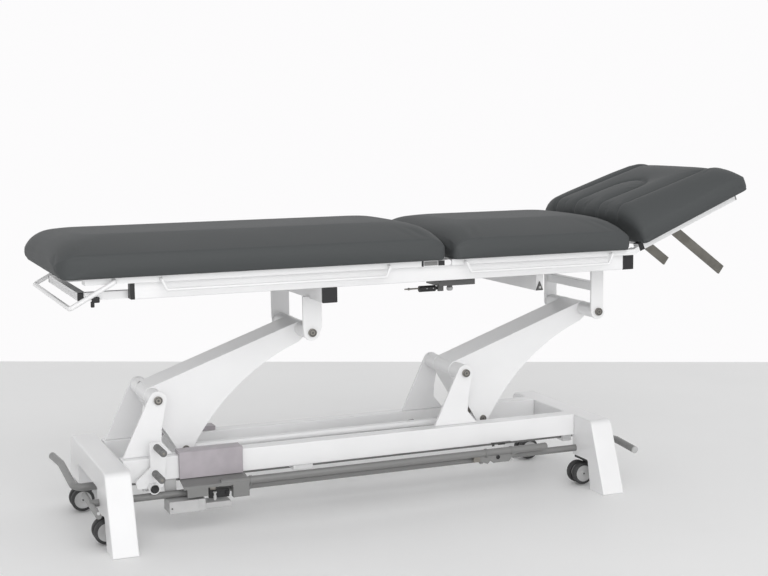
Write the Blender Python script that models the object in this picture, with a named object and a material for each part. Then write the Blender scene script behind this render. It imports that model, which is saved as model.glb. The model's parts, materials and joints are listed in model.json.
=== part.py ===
"""Treatment table: splayed base, parallelogram lift, three padded sections. Metres, +Z up, +X the head end."""

import math

import bmesh
import bpy
from mathutils import Matrix, Vector

# Clearances
GAP = 0.0003
BORE = 0.0004

# Base
BASE_LENGTH = 1.45
BASE_HALF = BASE_LENGTH / 2
PORTAL_THICK = 0.066
PORTAL_TOP = 0.200
PORTAL_TOP_HALF = 0.2365
FOOT_HALF = 0.3085
FOOT_INNER = 0.232
BLOCK_BOTTOM = 0.083
BLOCK_OUTER = 0.2206
BLOCK_INNER = 0.135
BEAM_BOTTOM = 0.140
PORTAL_CORNER = 0.022
RAIL_OUTER = 0.1433
RAIL_WIDTH = 0.045
RAIL_BOTTOM = 0.1415
RAIL_TOP = 0.2026
TOWER_OUTER = 0.1206
TOWER_THICK = 0.008

# Lift
PIVOT_A_X = 0.1666 - BASE_HALF
PIVOT_A_Z = 0.3472
ARM_SPACING = 0.8792
ARM_B = (0.4169, 0.1506)
ARM_C = (0.0864, -0.1512)
ARM_HALF = 0.056
ARM_PLATE = 0.005
EYE_A = 0.0235
EYE_B = 0.0215
EYE_C = 0.0185
PIN = 0.008
PIN_HEAD = 0.011
PIN_HEAD_THICK = 0.006
TIE_Y = -0.030
ROD = 0.010
ACTUATOR_Y = 0.025
ACTUATOR_RADIUS = 0.027
ACTUATOR_PIN = (PIVOT_A_X + 0.4584, 0.120)
TUBE_A = TOWER_OUTER - TOWER_THICK - GAP

# Castors and foot controls
STEM_X = BASE_HALF - 0.035
STEM_Y = 0.165
TRAIL = 0.024
WHEEL = 0.032
WHEEL_HALF = 0.024
WHEEL_LIFT = 0.003
POST_Y = 0.195
POST = 0.016
SHAFT_Y = -0.030
SHAFT_Z = 0.1165
SHAFT_R = 0.010
SHAFT_END_X = BASE_HALF + 0.040
SHAFT_BEND = (0.172, 0.019)
SHAFT_TIP = (0.010, 0.257, 0.023)
HEAD_BEND = (-0.205, 0.012)
HEAD_TIP = (0.007, -0.292, 0.000)
NEAR_SHAFT_Y = -0.150
NEAR_SHAFT_Z = 0.104
NEAR_SHAFT_R = 0.0095
FOOT_BAR_Y = -0.182
FOOT_BAR_Z = 0.1275
FOOT_BAR_R = 0.010
FOOT_BAR_HEAD = BASE_HALF - 0.182
FOOT_PLATE_X = BASE_HALF - 0.375
COVER = (0.210 - BASE_HALF, 0.380 - BASE_HALF)
FOOT_BAR_FOOT = COVER[0] + 0.100
PEDAL_FACE = FOOT_BAR_Y - 0.012
COVER_HALF = 0.155
COVER_TOP = RAIL_TOP + 0.0109
BOX_X = 0.172 - BASE_HALF
ROCKER = (0.139 - BASE_HALF, 0.129)
ROCKER_STUB = 0.011
PEG = 0.0085
PEG_END = 0.240

# Top frame
TOP_RAIL_INNER = 0.220
TOP_RAIL_OUTER = 0.250
TOP_RAIL_BOTTOM = 0.630
TOP_RAIL_TOP = TOP_RAIL_BOTTOM + 0.0415
TOP_RAIL_FOOT = -0.640
TOP_RAIL_HEAD = 0.785
HANGER_INNER = 0.133
HANGER_THICK = 0.008
TUBE_B = HANGER_INNER - GAP
CROSS_TUBE = 0.040
FRAME_LOW = TOP_RAIL_TOP + GAP
FRAME_BAR = 0.0154
FRAME_TOP = FRAME_LOW + FRAME_BAR
FRAME_MID = (FRAME_LOW + FRAME_TOP) / 2
FRAME_INNER = 0.225
FRAME_OUTER = 0.265
MID_HINGE_X = 0.2045
KNUCKLE_SPLIT = 0.245
HEAD_SPLIT = 0.2347
HOLDER = (TOP_RAIL_FOOT - 0.050, FRAME_MID)
ROD_Y = 0.2805
HEAD_HINGE = (0.795, FRAME_TOP - 0.0062)
LEVER = (MID_HINGE_X + 0.0005, TOP_RAIL_BOTTOM - 0.0255)
SPRING_Y = -0.155
SPRING_FOOT = (0.290, TOP_RAIL_BOTTOM + 0.010)
SPRING_END_X = 0.493
CROSS_PLATE = 0.195
HEAD_TILT = math.radians(22.5)

# Pads
PAD_HALF = 0.290
PAD_BOTTOM = FRAME_TOP + 0.0004
PAD_CREASE = PAD_BOTTOM + 0.0604
PAD_TOP = PAD_CREASE + 0.035
MID_SINK = 0.004
LEG_PAD = (-0.830, 0.190)
MID_PAD = (0.208, 0.767)
HEAD_PAD = (0.012, 0.398)
HEAD_BASE = 0.0155
HEAD_CREASE = HEAD_BASE + 0.048
HEAD_TOP = HEAD_BASE + 0.106
PAD_NOSE = 0.062
HEAD_NOSES = (0.030, 0.045)
PAD_PLAN_CORNER = 0.030
HEAD_SEAM = 0.176
HEAD_U_HALF = 0.068
HEAD_U_END = 0.222
HEAD_GROOVE = 0.006
LEVER_ROOT = (0.176, 0.0018)
LEVER_TIP = (1.160, 0.5976)


def clear_scene():
    """Empty the start-up scene."""
    for obj in list(bpy.data.objects):
        bpy.data.objects.remove(obj, do_unlink=True)


def placed(u, v, depth, axis):
    """A point from its two coordinates in a plane and its depth along the plane's axis."""
    if axis == "x":
        return Vector((depth, u, v))
    if axis == "y":
        return Vector((u, depth, v))
    return Vector((u, v, depth))


def from_bmesh(bm):
    """A scene object from a bmesh, faces turned outwards."""
    bmesh.ops.remove_doubles(bm, verts=bm.verts, dist=1e-6)
    bmesh.ops.recalc_face_normals(bm, faces=bm.faces)
    mesh = bpy.data.meshes.new("shape")
    bm.to_mesh(mesh)
    bm.free()
    obj = bpy.data.objects.new("shape", mesh)
    bpy.context.scene.collection.objects.link(obj)
    return obj


def lofted(rings):
    """A closed solid through rings of points, capped at both ends."""
    bm = bmesh.new()
    made = [[bm.verts.new(point) for point in ring] for ring in rings]
    count = len(rings[0])
    for first, second in zip(made, made[1:]):
        for i in range(count):
            j = (i + 1) % count
            bm.faces.new((first[i], first[j], second[j], second[i]))
    bm.faces.new(made[0])
    bm.faces.new(made[-1])
    return from_bmesh(bm)


def prism(outline, axis, low, high):
    """An outline in the plane across an axis, drawn out between two depths."""
    return lofted([[placed(u, v, depth, axis) for u, v in outline] for depth in (low, high)])


def box(x0, x1, y0, y1, z0, z1):
    """A plain block."""
    return prism([(x0, z0), (x1, z0), (x1, z1), (x0, z1)], "y", y0, y1)


def arc(centre, radius, start, end, steps):
    """Points on an arc, angles in degrees."""
    points = []
    for i in range(steps + 1):
        angle = math.radians(start + (end - start) * i / steps)
        points.append((centre[0] + radius * math.cos(angle), centre[1] + radius * math.sin(angle)))
    return points


def circle(centre, radius, steps=20):
    """A full round outline."""
    return arc(centre, radius, 0, 360 * (steps - 1) / steps, steps - 1)


def disc(u, v, radius, axis, low, high, steps=20):
    """A cylinder along a main axis."""
    return prism(circle((u, v), radius, steps), axis, low, high)


def rounded(outline, radii, steps=4):
    """An outline with each corner rounded to its radius."""
    points = []
    count = len(outline)
    for i, corner in enumerate(outline):
        radius = radii[i] if isinstance(radii, (list, tuple)) else radii
        here = Vector(corner)
        before = Vector(outline[i - 1])
        after = Vector(outline[(i + 1) % count])
        points.extend((p.x, p.y) for p in fillet(before, here, after, radius, steps))
    return points


def fillet(before, here, after, radius, steps):
    """The corner of a path, replaced by an arc of a radius."""
    if not radius:
        return [here]
    one = (before - here).normalized()
    two = (after - here).normalized()
    half = one.angle(two) / 2
    reach = radius / math.tan(half)
    centre = here + (one + two).normalized() * (radius / math.sin(half))
    first = here + one * reach - centre
    last = here + two * reach - centre
    turn = first.angle(last)
    points = []
    for i in range(steps + 1):
        t = i / steps
        part = first * math.sin((1 - t) * turn) + last * math.sin(t * turn)
        points.append(centre + part / math.sin(turn))
    return points


def swept(path, radius, bend=0.0, sides=10, steps=4):
    """A round bar along a path with its corners bent to a radius."""
    corners = [Vector(p) for p in path]
    points = [corners[0]]
    for before, here, after in zip(corners, corners[1:], corners[2:]):
        points.extend(fillet(before, here, after, bend, steps))
    points.append(corners[-1])
    heading = (points[1] - points[0]).normalized()
    across = heading.orthogonal().normalized()
    rings = []
    for i, point in enumerate(points):
        into = (point - points[i - 1]).normalized() if i else heading
        out = (points[i + 1] - point).normalized() if i + 1 < len(points) else into
        across = (across - into * across.dot(into)).normalized()
        mean = (into + out).normalized()
        other = into.cross(across)
        ring = []
        for k in range(sides):
            angle = 2 * math.pi * k / sides
            spoke = (across * math.cos(angle) + other * math.sin(angle)) * radius
            ring.append(point + spoke - into * (spoke.dot(mean) / into.dot(mean)))
        rings.append(ring)
    return lofted(rings)


def tangent_outline(circles, steps=8):
    """The outline of a belt round circles given in anticlockwise order."""
    points = []
    count = len(circles)
    for i, (centre, radius) in enumerate(circles):
        before_centre, before_radius = circles[i - 1]
        after_centre, after_radius = circles[(i + 1) % count]
        start = leaving_angle(before_centre, before_radius, centre, radius)
        end = leaving_angle(centre, radius, after_centre, after_radius)
        while end < start:
            end += 360
        points.extend(arc(centre, radius, start, end, steps))
    return points


def leaving_angle(one, one_radius, two, two_radius):
    """The angle, in degrees, at which the outer tangent of two circles touches both."""
    along = math.atan2(two[1] - one[1], two[0] - one[0])
    distance = math.hypot(two[0] - one[0], two[1] - one[1])
    lean = math.asin((one_radius - two_radius) / distance)
    return math.degrees(along - math.pi / 2 + lean)


def through(one, two, three, steps):
    """Points on the arc through three points."""
    ax, ay = one
    bx, by = two
    cx, cy = three
    d = 2 * (ax * (by - cy) + bx * (cy - ay) + cx * (ay - by))
    ux = (ax * ax + ay * ay) * (by - cy) + (bx * bx + by * by) * (cy - ay) + (cx * cx + cy * cy) * (ay - by)
    uy = (ax * ax + ay * ay) * (cx - bx) + (bx * bx + by * by) * (ax - cx) + (cx * cx + cy * cy) * (bx - ax)
    centre = (ux / d, uy / d)
    radius = math.hypot(ax - centre[0], ay - centre[1])
    start = math.degrees(math.atan2(ay - centre[1], ax - centre[0]))
    end = math.degrees(math.atan2(cy - centre[1], cx - centre[0]))
    if end - start > 180:
        end -= 360
    if start - end > 180:
        end += 360
    return arc(centre, radius, start, end, steps)


def joined(base, added=(), removed=()):
    """One solid: shapes added to a base shape, others then cut from it."""
    for shapes, operation in ((added, "UNION"), (removed, "DIFFERENCE")):
        for shape in shapes:
            step = base.modifiers.new("step", "BOOLEAN")
            step.solver = "EXACT"
            step.operation = operation
            step.object = shape
    graph = bpy.context.evaluated_depsgraph_get()
    mesh = bpy.data.meshes.new_from_object(base.evaluated_get(graph))
    base.modifiers.clear()
    base.data = mesh
    for shape in (*added, *removed):
        bpy.data.objects.remove(shape, do_unlink=True)
    return base


def pivot(name, point, parent):
    """An empty on a joint's axis, hung from the empty of the body it moves on."""
    empty = bpy.data.objects.new(name, None)
    empty.empty_display_size = 0.03
    bpy.context.scene.collection.objects.link(empty)
    empty["at"] = point
    empty.parent = parent
    start = Vector(parent["at"]) if parent else Vector((0, 0, 0))
    empty.location = Vector(point) - start
    return empty


def node(name, obj, colour, roughness, metallic, parent):
    """Name a finished shape, give it its own material and hang it from its body's empty."""
    obj.name = name
    obj.data.name = name
    obj.data.transform(Matrix.Translation(-Vector(parent["at"])))
    obj.parent = parent
    made = bpy.data.materials.new(name)
    made.use_nodes = True
    shader = made.node_tree.nodes["Principled BSDF"]
    shader.inputs["Base Color"].default_value = (*colour, 1.0)
    shader.inputs["Roughness"].default_value = roughness
    shader.inputs["Metallic"].default_value = metallic
    obj.data.materials.clear()
    obj.data.materials.append(made)
    return obj


def white(name, obj, parent):
    return node(name, obj, (0.84, 0.84, 0.85), 0.35, 0.0, parent)


def grey(name, obj, parent):
    return node(name, obj, (0.26, 0.26, 0.26), 0.45, 0.0, parent)


def dark(name, obj, parent):
    return node(name, obj, (0.03, 0.03, 0.03), 0.5, 0.0, parent)


def steel(name, obj, parent):
    return node(name, obj, (0.45, 0.44, 0.42), 0.35, 1.0, parent)


def cushion(name, obj, parent):
    return node(name, obj, (0.10, 0.11, 0.11), 0.6, 0.0, parent)


def portal(name, side, root):
    """One end leg: a beam on two splayed feet, with shaft bearings and pockets for the castor posts."""
    outer = BASE_HALF
    low, high = sorted((side * outer, side * (outer - PORTAL_THICK)))
    half = [(FOOT_INNER, 0), (FOOT_HALF, 0), (PORTAL_TOP_HALF, PORTAL_TOP)]
    under = [(BLOCK_OUTER, BLOCK_BOTTOM), (BLOCK_INNER, BLOCK_BOTTOM), (BLOCK_INNER, BEAM_BOTTOM)]
    corners = half + [(-y, z) for y, z in reversed(half)] + [(-y, z) for y, z in under] + under[::-1]
    radii = [0, 0.003, PORTAL_CORNER, PORTAL_CORNER, 0.003, 0, 0.006, 0.004, 0.010, 0.010, 0.004, 0.006]
    body = prism(rounded(corners, radii), "x", low, high)
    middle = side * STEM_X
    lug = box(middle - 0.014, middle + 0.014, SHAFT_Y - 0.018, SHAFT_Y + 0.018, SHAFT_Z - 0.017, BEAM_BOTTOM + 0.004)
    holes = [
        disc(SHAFT_Y, SHAFT_Z, SHAFT_R + BORE, "x", low - 0.01, high + 0.01),
        disc(NEAR_SHAFT_Y, NEAR_SHAFT_Z, NEAR_SHAFT_R + BORE, "x", low - 0.01, high + 0.01),
    ]
    reach = POST / 2 + 0.0005
    for way in (-1, 1):
        y = way * POST_Y
        holes.append(box(middle - reach, middle + reach, y - reach, y + reach, BLOCK_BOTTOM - 0.02, 0.126))
    white(name, joined(body, [lug], holes), root)


def tower(name, pivot_x, way, root):
    """An upright plate on a rail, with the hole of a lower lift pivot."""
    seat = RAIL_TOP - PIVOT_A_Z + GAP
    foot = [(-0.0955, seat), (0.035, seat)]
    outline = [foot[0], foot[1], (0.0065, -0.11), (0.008, -0.075)]
    last = leaving_angle((0, 0), EYE_A, foot[0], 0) % 360
    outline += arc((0, 0), EYE_A, 0, last, 10)
    outline = [(pivot_x + x, PIVOT_A_Z + z) for x, z in outline]
    inner, outer = sorted((way * (TOWER_OUTER - TOWER_THICK), way * TOWER_OUTER))
    plate = prism(outline, "y", inner, outer)
    hole = disc(pivot_x, PIVOT_A_Z, PIN + BORE, "y", inner - 0.01, outer + 0.01)
    white(name, joined(plate, [], [hole]), root)


def headed_pin(x, z, outer):
    """A pivot pin with a round head outside each plate."""
    face = outer + GAP
    end = face + PIN_HEAD_THICK
    shaft = disc(x, z, PIN, "y", -face - 0.002, face + 0.002, 16)
    heads = [disc(x, z, PIN_HEAD, "y", -end, -face, 16), disc(x, z, PIN_HEAD, "y", face, end, 16)]
    return joined(shaft, heads)


def build_base(root):
    """Portals, rails, towers, covers and the pieces fixed under the rails."""
    portal("portal_foot_end", -1, root)
    portal("portal_head_end", 1, root)
    end = BASE_HALF - PORTAL_THICK - GAP
    for side, way in (("near", -1), ("far", 1)):
        inner, outer = sorted((way * (RAIL_OUTER - RAIL_WIDTH), way * RAIL_OUTER))
        white("base_rail_" + side, box(-end, end, inner, outer, RAIL_BOTTOM, RAIL_TOP), root)
        tower("tower_foot_" + side, PIVOT_A_X, way, root)
        tower("tower_head_" + side, PIVOT_A_X + ARM_SPACING, way, root)
        low = RAIL_BOTTOM + 0.0005
        cover = [(0.110, RAIL_TOP + GAP), (0.110, COVER_TOP), (COVER_HALF - 0.0035, COVER_TOP)]
        cover += [(COVER_HALF, COVER_TOP - 0.0035), (COVER_HALF, low)]
        cover += [(RAIL_OUTER + GAP, low), (RAIL_OUTER + GAP, RAIL_TOP + GAP)]
        shape = prism([(way * y, z) for y, z in cover], "x", *COVER)
        node("control_cover_" + side, shape, (0.45, 0.42, 0.45), 0.4, 0.0, root)
    steel("pin_foot_lower", headed_pin(PIVOT_A_X, PIVOT_A_Z, TOWER_OUTER), root)
    steel("pin_head_lower", headed_pin(PIVOT_A_X + ARM_SPACING, PIVOT_A_Z, TOWER_OUTER), root)

    top = RAIL_BOTTOM - GAP
    dark("cover_bracket", box(COVER[0], COVER[1] + 0.005, 0.001 - RAIL_OUTER, -0.118, top - 0.004, top), root)
    case = box(BOX_X, BOX_X + 0.095, -0.190, -0.130, 0.0625, 0.0935)
    strap = box(BOX_X + 0.002, BOX_X + 0.032, -0.138, -0.130, 0.070, top)
    node("control_box", joined(case, [strap]), (0.58, 0.58, 0.58), 0.5, 0.0, root)

    bar_x = ACTUATOR_PIN[0] - 0.100
    bar = box(bar_x, bar_x + 0.055, -0.138, 0.138, RAIL_BOTTOM - 0.013, top)
    ears = []
    for offset in (-0.0145, 0.0145):
        ear = tangent_outline([((bar_x + 0.018, RAIL_BOTTOM - 0.0107), 0.009), (ACTUATOR_PIN, 0.014)])
        ears.append(prism(ear, "y", ACTUATOR_Y + offset - 0.003, ACTUATOR_Y + offset + 0.003))
    white("actuator_anchor", joined(bar, ears), root)

    block = box(ROCKER[0] - 0.022, ROCKER[0] + 0.022, -0.142, -0.105, ROCKER[1] - 0.0125, top)
    stub = disc(ROCKER[0], ROCKER[1], ROCKER_STUB, "y", -0.176, -0.130, 20)
    white("rocker_bearing", joined(block, [stub]), root)


def build_controls(root):
    """Foot bar, shafts and rocker."""
    axis = pivot("near_shaft_axis", (0, NEAR_SHAFT_Y, NEAR_SHAFT_Z), root)
    ends = (-BASE_HALF - 0.025, BASE_HALF + 0.013)
    shaft = swept([(x, NEAR_SHAFT_Y, NEAR_SHAFT_Z) for x in ends], NEAR_SHAFT_R, 0, 16)
    tee_x = ends[0] + 0.005
    tee_ends = [(tee_x, -0.250, NEAR_SHAFT_Z - 0.007), (tee_x, -0.060, NEAR_SHAFT_Z)]
    tee = swept(tee_ends, 0.008, 0, 12)
    grey("near_shaft", joined(shaft, [tee]), axis)

    axis = pivot("foot_bar_axis", (0, NEAR_SHAFT_Y, NEAR_SHAFT_Z), root)
    ends = (FOOT_BAR_FOOT, FOOT_BAR_HEAD)
    bar = swept([(x, FOOT_BAR_Y, FOOT_BAR_Z) for x in ends], FOOT_BAR_R, 0, 16)
    hangers = []
    holes = []
    for x in (COVER[1] + 0.0085, FOOT_PLATE_X, FOOT_PLATE_X + 0.080):
        belt = tangent_outline([((FOOT_BAR_Y, FOOT_BAR_Z), 0.0115), ((NEAR_SHAFT_Y, NEAR_SHAFT_Z), 0.015)])
        hangers.append(prism(belt, "x", x, x + 0.006))
        holes.append(disc(NEAR_SHAFT_Y, NEAR_SHAFT_Z, NEAR_SHAFT_R + BORE, "x", x - 0.01, x + 0.016))
    low = FOOT_BAR_Z - 0.0055
    vee = [(-0.028, -0.0095), (-0.020, -0.0215), (0.008, -0.032), (0.016, -0.0235), (0.026, -0.031)]
    vee += [(0.074, -0.031), (0.086, -0.0195), (0.100, -0.0095)]
    vee = [(FOOT_PLATE_X + x, FOOT_BAR_Z + z) for x, z in vee]
    hangers.append(prism(vee, "y", FOOT_BAR_Y - 0.0025, FOOT_BAR_Y + 0.0025))
    inner, face = NEAR_SHAFT_Y + 0.0005, PEDAL_FACE
    pedal = [(inner, FOOT_BAR_Z + 0.0133), (face + 0.0015, FOOT_BAR_Z + 0.0023), (face, FOOT_BAR_Z + 0.0003)]
    pedal += [(face, low), (face + 0.003, low), (face + 0.003, FOOT_BAR_Z - 0.0007), (inner, FOOT_BAR_Z + 0.0103)]
    hangers.append(prism(pedal, "x", COVER[0], COVER[1] + 0.005))
    x = COVER[0]
    hangers.append(box(x + 0.009, x + 0.064, face + 0.0001, face + 0.0029, low - 0.0215, low + 0.004))
    hangers.append(box(x + 0.131, x + 0.1745, face + 0.0001, face + 0.0190, low - 0.0335, low + 0.002))
    grey("foot_bar", joined(bar, hangers, holes), axis)

    axis = pivot("rocker_axis", (ROCKER[0], -0.155, ROCKER[1]), root)
    outline = [(-0.006, 0.118), (0.024, 0.118), (0.038, 0.076), (0.026, -0.001), (-0.042, -0.001)]
    outline += [(-0.046, 0.019), (-0.006, 0.052)]
    outline = [(ROCKER[0] + x, ROCKER[1] + z) for x, z in outline]
    plate = prism(rounded(outline, 0.006, 2), "y", -0.160, -0.152)
    collar = disc(ROCKER[0], ROCKER[1], ROCKER_STUB + 0.004, "y", -0.174, -0.152)
    pegs = []
    for x, z in ((0.011, 0.1055), (0.005, 0.0375)):
        pegs.append(disc(ROCKER[0] + x, ROCKER[1] + z, PEG, "y", -PEG_END, -0.155, 12))
    hole = disc(ROCKER[0], ROCKER[1], ROCKER_STUB + BORE, "y", -0.2, -0.145)
    white("rocker_plate", joined(plate, [collar, *pegs], [hole]), axis)

    axis = pivot("castor_shaft_axis", (0, SHAFT_Y, SHAFT_Z), root)
    x, z = SHAFT_END_X, SHAFT_Z
    path = [(-x - SHAFT_TIP[0], SHAFT_TIP[1], z + SHAFT_TIP[2]), (-x, SHAFT_BEND[0], z + SHAFT_BEND[1])]
    path += [(-x, SHAFT_Y, z), (x, SHAFT_Y, z)]
    path += [(x, HEAD_BEND[0], z + HEAD_BEND[1]), (x + HEAD_TIP[0], HEAD_TIP[1], z + HEAD_TIP[2])]
    grey("castor_shaft", swept(path, SHAFT_R, 0.028, 12), axis)


def build_castors(root):
    """Four carrier plates that slide in the portals, each with a swivel yoke and a pair of wheels."""
    carrier = pivot("castor_carriers", (0, 0, BLOCK_BOTTOM), root)
    top = BLOCK_BOTTOM - GAP
    plate_low = top - 0.008
    axle_z = WHEEL + WHEEL_LIFT
    for end, ex in (("foot", -1), ("head", 1)):
        for side, way in (("near", -1), ("far", 1)):
            label = end + "_" + side
            x = ex * STEM_X
            y = way * STEM_Y
            low, high = sorted((way * 0.141, way * 0.212))
            plate = box(x - 0.028, x + 0.028, low, high, plate_low, top)
            half = POST / 2
            post_y = way * POST_Y
            post = box(x - half, x + half, post_y - half, post_y + half, top - 0.004, 0.122)
            hole = disc(x, y, 0.006 + BORE, "z", plate_low - 0.01, top + 0.01, 16)
            dark("castor_plate_" + label, joined(plate, [post], [hole]), carrier)

            swivel = pivot("castor_swivel_" + label, (x, y, axle_z), carrier)
            head = disc(x, y, 0.016, "z", plate_low - GAP - 0.007, plate_low - GAP, 20)
            stem = disc(x, y, 0.006, "z", plate_low - 0.004, top - 0.001, 16)
            web = tangent_outline([((x - TRAIL, axle_z), 0.011), ((x, plate_low - 0.010), 0.010)], 6)
            web = prism(web, "y", y - 0.0045, y + 0.0045)
            bore = disc(x - TRAIL, axle_z, 0.004 + BORE, "y", y - 0.02, y + 0.02, 16)
            grey("castor_yoke_" + label, joined(head, [stem, web], [bore]), swivel)

            spin = pivot("castor_axle_" + label, (x - TRAIL, y, axle_z), swivel)
            axle = disc(x - TRAIL, axle_z, 0.004, "y", y - WHEEL_HALF + 0.003, y + WHEEL_HALF - 0.003, 16)
            discs = []
            for a in (-1, 1):
                profile = [(0.0065, WHEEL - 0.004), (0.0100, WHEEL)]
                profile += [(WHEEL_HALF - 0.003, WHEEL), (WHEEL_HALF, WHEEL - 0.005)]
                rings = []
                for off, radius in profile:
                    depth = y + a * off
                    rings.append([placed(u, v, depth, "y") for u, v in circle((x - TRAIL, axle_z), radius, 24)])
                discs.append(lofted(rings))
            dark("castor_wheels_" + label, joined(axle, discs), spin)


def arm(pivot_x):
    """One lift arm: a box of two side plates, a top web and a back strip, with tubes for its pins."""
    a = (0.0, 0.0)
    top_left = leaving_angle(ARM_B, EYE_B, a, EYE_A) % 360
    left_low = leaving_angle(a, EYE_A, ARM_C, EYE_C) % 360
    outline = arc(ARM_B, EYE_B, -70, top_left, 8)
    outline += arc(a, EYE_A, top_left, left_low, 8)
    outline += arc(ARM_C, EYE_C, left_low, 360, 8)
    outline += through(outline[-1], (0.2, -0.023), (0.408, 0.115), 14)[1:]
    at = [(pivot_x + x, PIVOT_A_Z + z) for x, z in outline]
    plates = []
    for way in (-1, 1):
        low, high = sorted((way * ARM_HALF, way * (ARM_HALF - ARM_PLATE)))
        plates.append(prism(at, "y", low, high))
    inside = ARM_HALF - ARM_PLATE / 2

    def strip(start, start_radius, end, end_radius, angle, from_t, to_t):
        """A strip just under the edge between two eyes."""
        out = (math.cos(math.radians(angle)), math.sin(math.radians(angle)))
        edge = []
        for t, depth in ((from_t, 0.0003), (to_t, 0.0003), (to_t, ARM_PLATE), (from_t, ARM_PLATE)):
            reach = start_radius + (end_radius - start_radius) * t - depth
            x = start[0] + (end[0] - start[0]) * t + out[0] * reach
            z = start[1] + (end[1] - start[1]) * t + out[1] * reach
            edge.append((pivot_x + x, PIVOT_A_Z + z))
        return prism(edge, "y", -inside, inside)

    shapes = [
        plates[1],
        strip(a, EYE_A, ARM_B, EYE_B, top_left, 0.0, 1.0),
        strip(a, EYE_A, ARM_C, EYE_C, left_low, 0.0, 0.6),
        disc(pivot_x, PIVOT_A_Z, 0.022, "y", -TUBE_A, TUBE_A),
        disc(pivot_x + ARM_B[0], PIVOT_A_Z + ARM_B[1], 0.0205, "y", -TUBE_B, TUBE_B),
        disc(pivot_x + ARM_C[0], PIVOT_A_Z + ARM_C[1], PIN, "y", -inside, inside, 16),
    ]
    bores = [
        disc(pivot_x, PIVOT_A_Z, PIN + BORE, "y", -0.2, 0.2, 16),
        disc(pivot_x + ARM_B[0], PIVOT_A_Z + ARM_B[1], PIN + BORE, "y", -0.2, 0.2, 16),
    ]
    return joined(plates[0], shapes, bores)


def build_lift(root):
    """The two arms, their pins, the tie rod and the lifting screw."""
    head_x = PIVOT_A_X + ARM_SPACING
    foot_axis = pivot("lift_foot_axis", (PIVOT_A_X, 0, PIVOT_A_Z), root)
    head_axis = pivot("lift_head_axis", (head_x, 0, PIVOT_A_Z), root)
    white("lift_arm_foot", arm(PIVOT_A_X), foot_axis)
    white("lift_arm_head", arm(head_x), head_axis)
    upper_z = PIVOT_A_Z + ARM_B[1]
    outer = HANGER_INNER + HANGER_THICK
    steel("pin_foot_upper", headed_pin(PIVOT_A_X + ARM_B[0], upper_z, outer), foot_axis)
    top = pivot("top_frame", (PIVOT_A_X + ARM_B[0], 0, upper_z), foot_axis)
    steel("pin_head_upper", headed_pin(head_x + ARM_B[0], upper_z, outer), top)

    c_z = PIVOT_A_Z + ARM_C[1]
    first = PIVOT_A_X + ARM_C[0]
    second = head_x + ARM_C[0]
    tie_axis = pivot("tie_rod_axis", (first, TIE_Y, c_z), foot_axis)
    bar = swept([(first + 0.011, TIE_Y, c_z), (second - 0.011, TIE_Y, c_z)], ROD, 0, 12)
    eyes = [disc(x, c_z, 0.015, "y", TIE_Y - 0.009, TIE_Y + 0.009, 16) for x in (first, second)]
    bores = [disc(x, c_z, PIN + BORE, "y", TIE_Y - 0.03, TIE_Y + 0.03, 16) for x in (first, second)]
    white("tie_rod", joined(bar, eyes, bores), tie_axis)

    rod_axis = pivot("actuator_axis", (second, ACTUATOR_Y, c_z), head_axis)
    pin = Vector((ACTUATOR_PIN[0], ACTUATOR_Y, ACTUATOR_PIN[1]))
    eye = Vector((second, ACTUATOR_Y, c_z))
    along = (pin - eye).normalized()
    rod = swept([eye + along * 0.012, eye + along * 0.31], 0.0105, 0, 14)
    ring = disc(second, c_z, 0.016, "y", ACTUATOR_Y - 0.010, ACTUATOR_Y + 0.010, 16)
    bore = disc(second, c_z, PIN + BORE, "y", ACTUATOR_Y - 0.03, ACTUATOR_Y + 0.03, 16)
    steel("actuator_rod", joined(rod, [ring], [bore]), rod_axis)
    body_axis = pivot("actuator_slide", tuple(pin), rod_axis)
    body = swept([pin - along * 0.050, pin - along * 0.33], ACTUATOR_RADIUS, 0, 18)
    lug = swept([pin + along * 0.006, pin - along * 0.056], 0.0075, 0, 12)
    bore = swept([pin - along * 0.09, pin - along * 0.36], 0.0105 + BORE, 0, 14)
    grey("actuator_body", joined(body, [lug], [bore]), body_axis)
    return top


def hanger_plates(x, z, left, right, top):
    """The outline of a hanger plate: round below a pivot, square above."""
    radius = 0.0225
    outline = arc((x, z), radius, 180, 360, 10)
    return outline + [(x + right, z + 0.012), (x + right, top), (x - left, top), (x - left, z + 0.012)]


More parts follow.
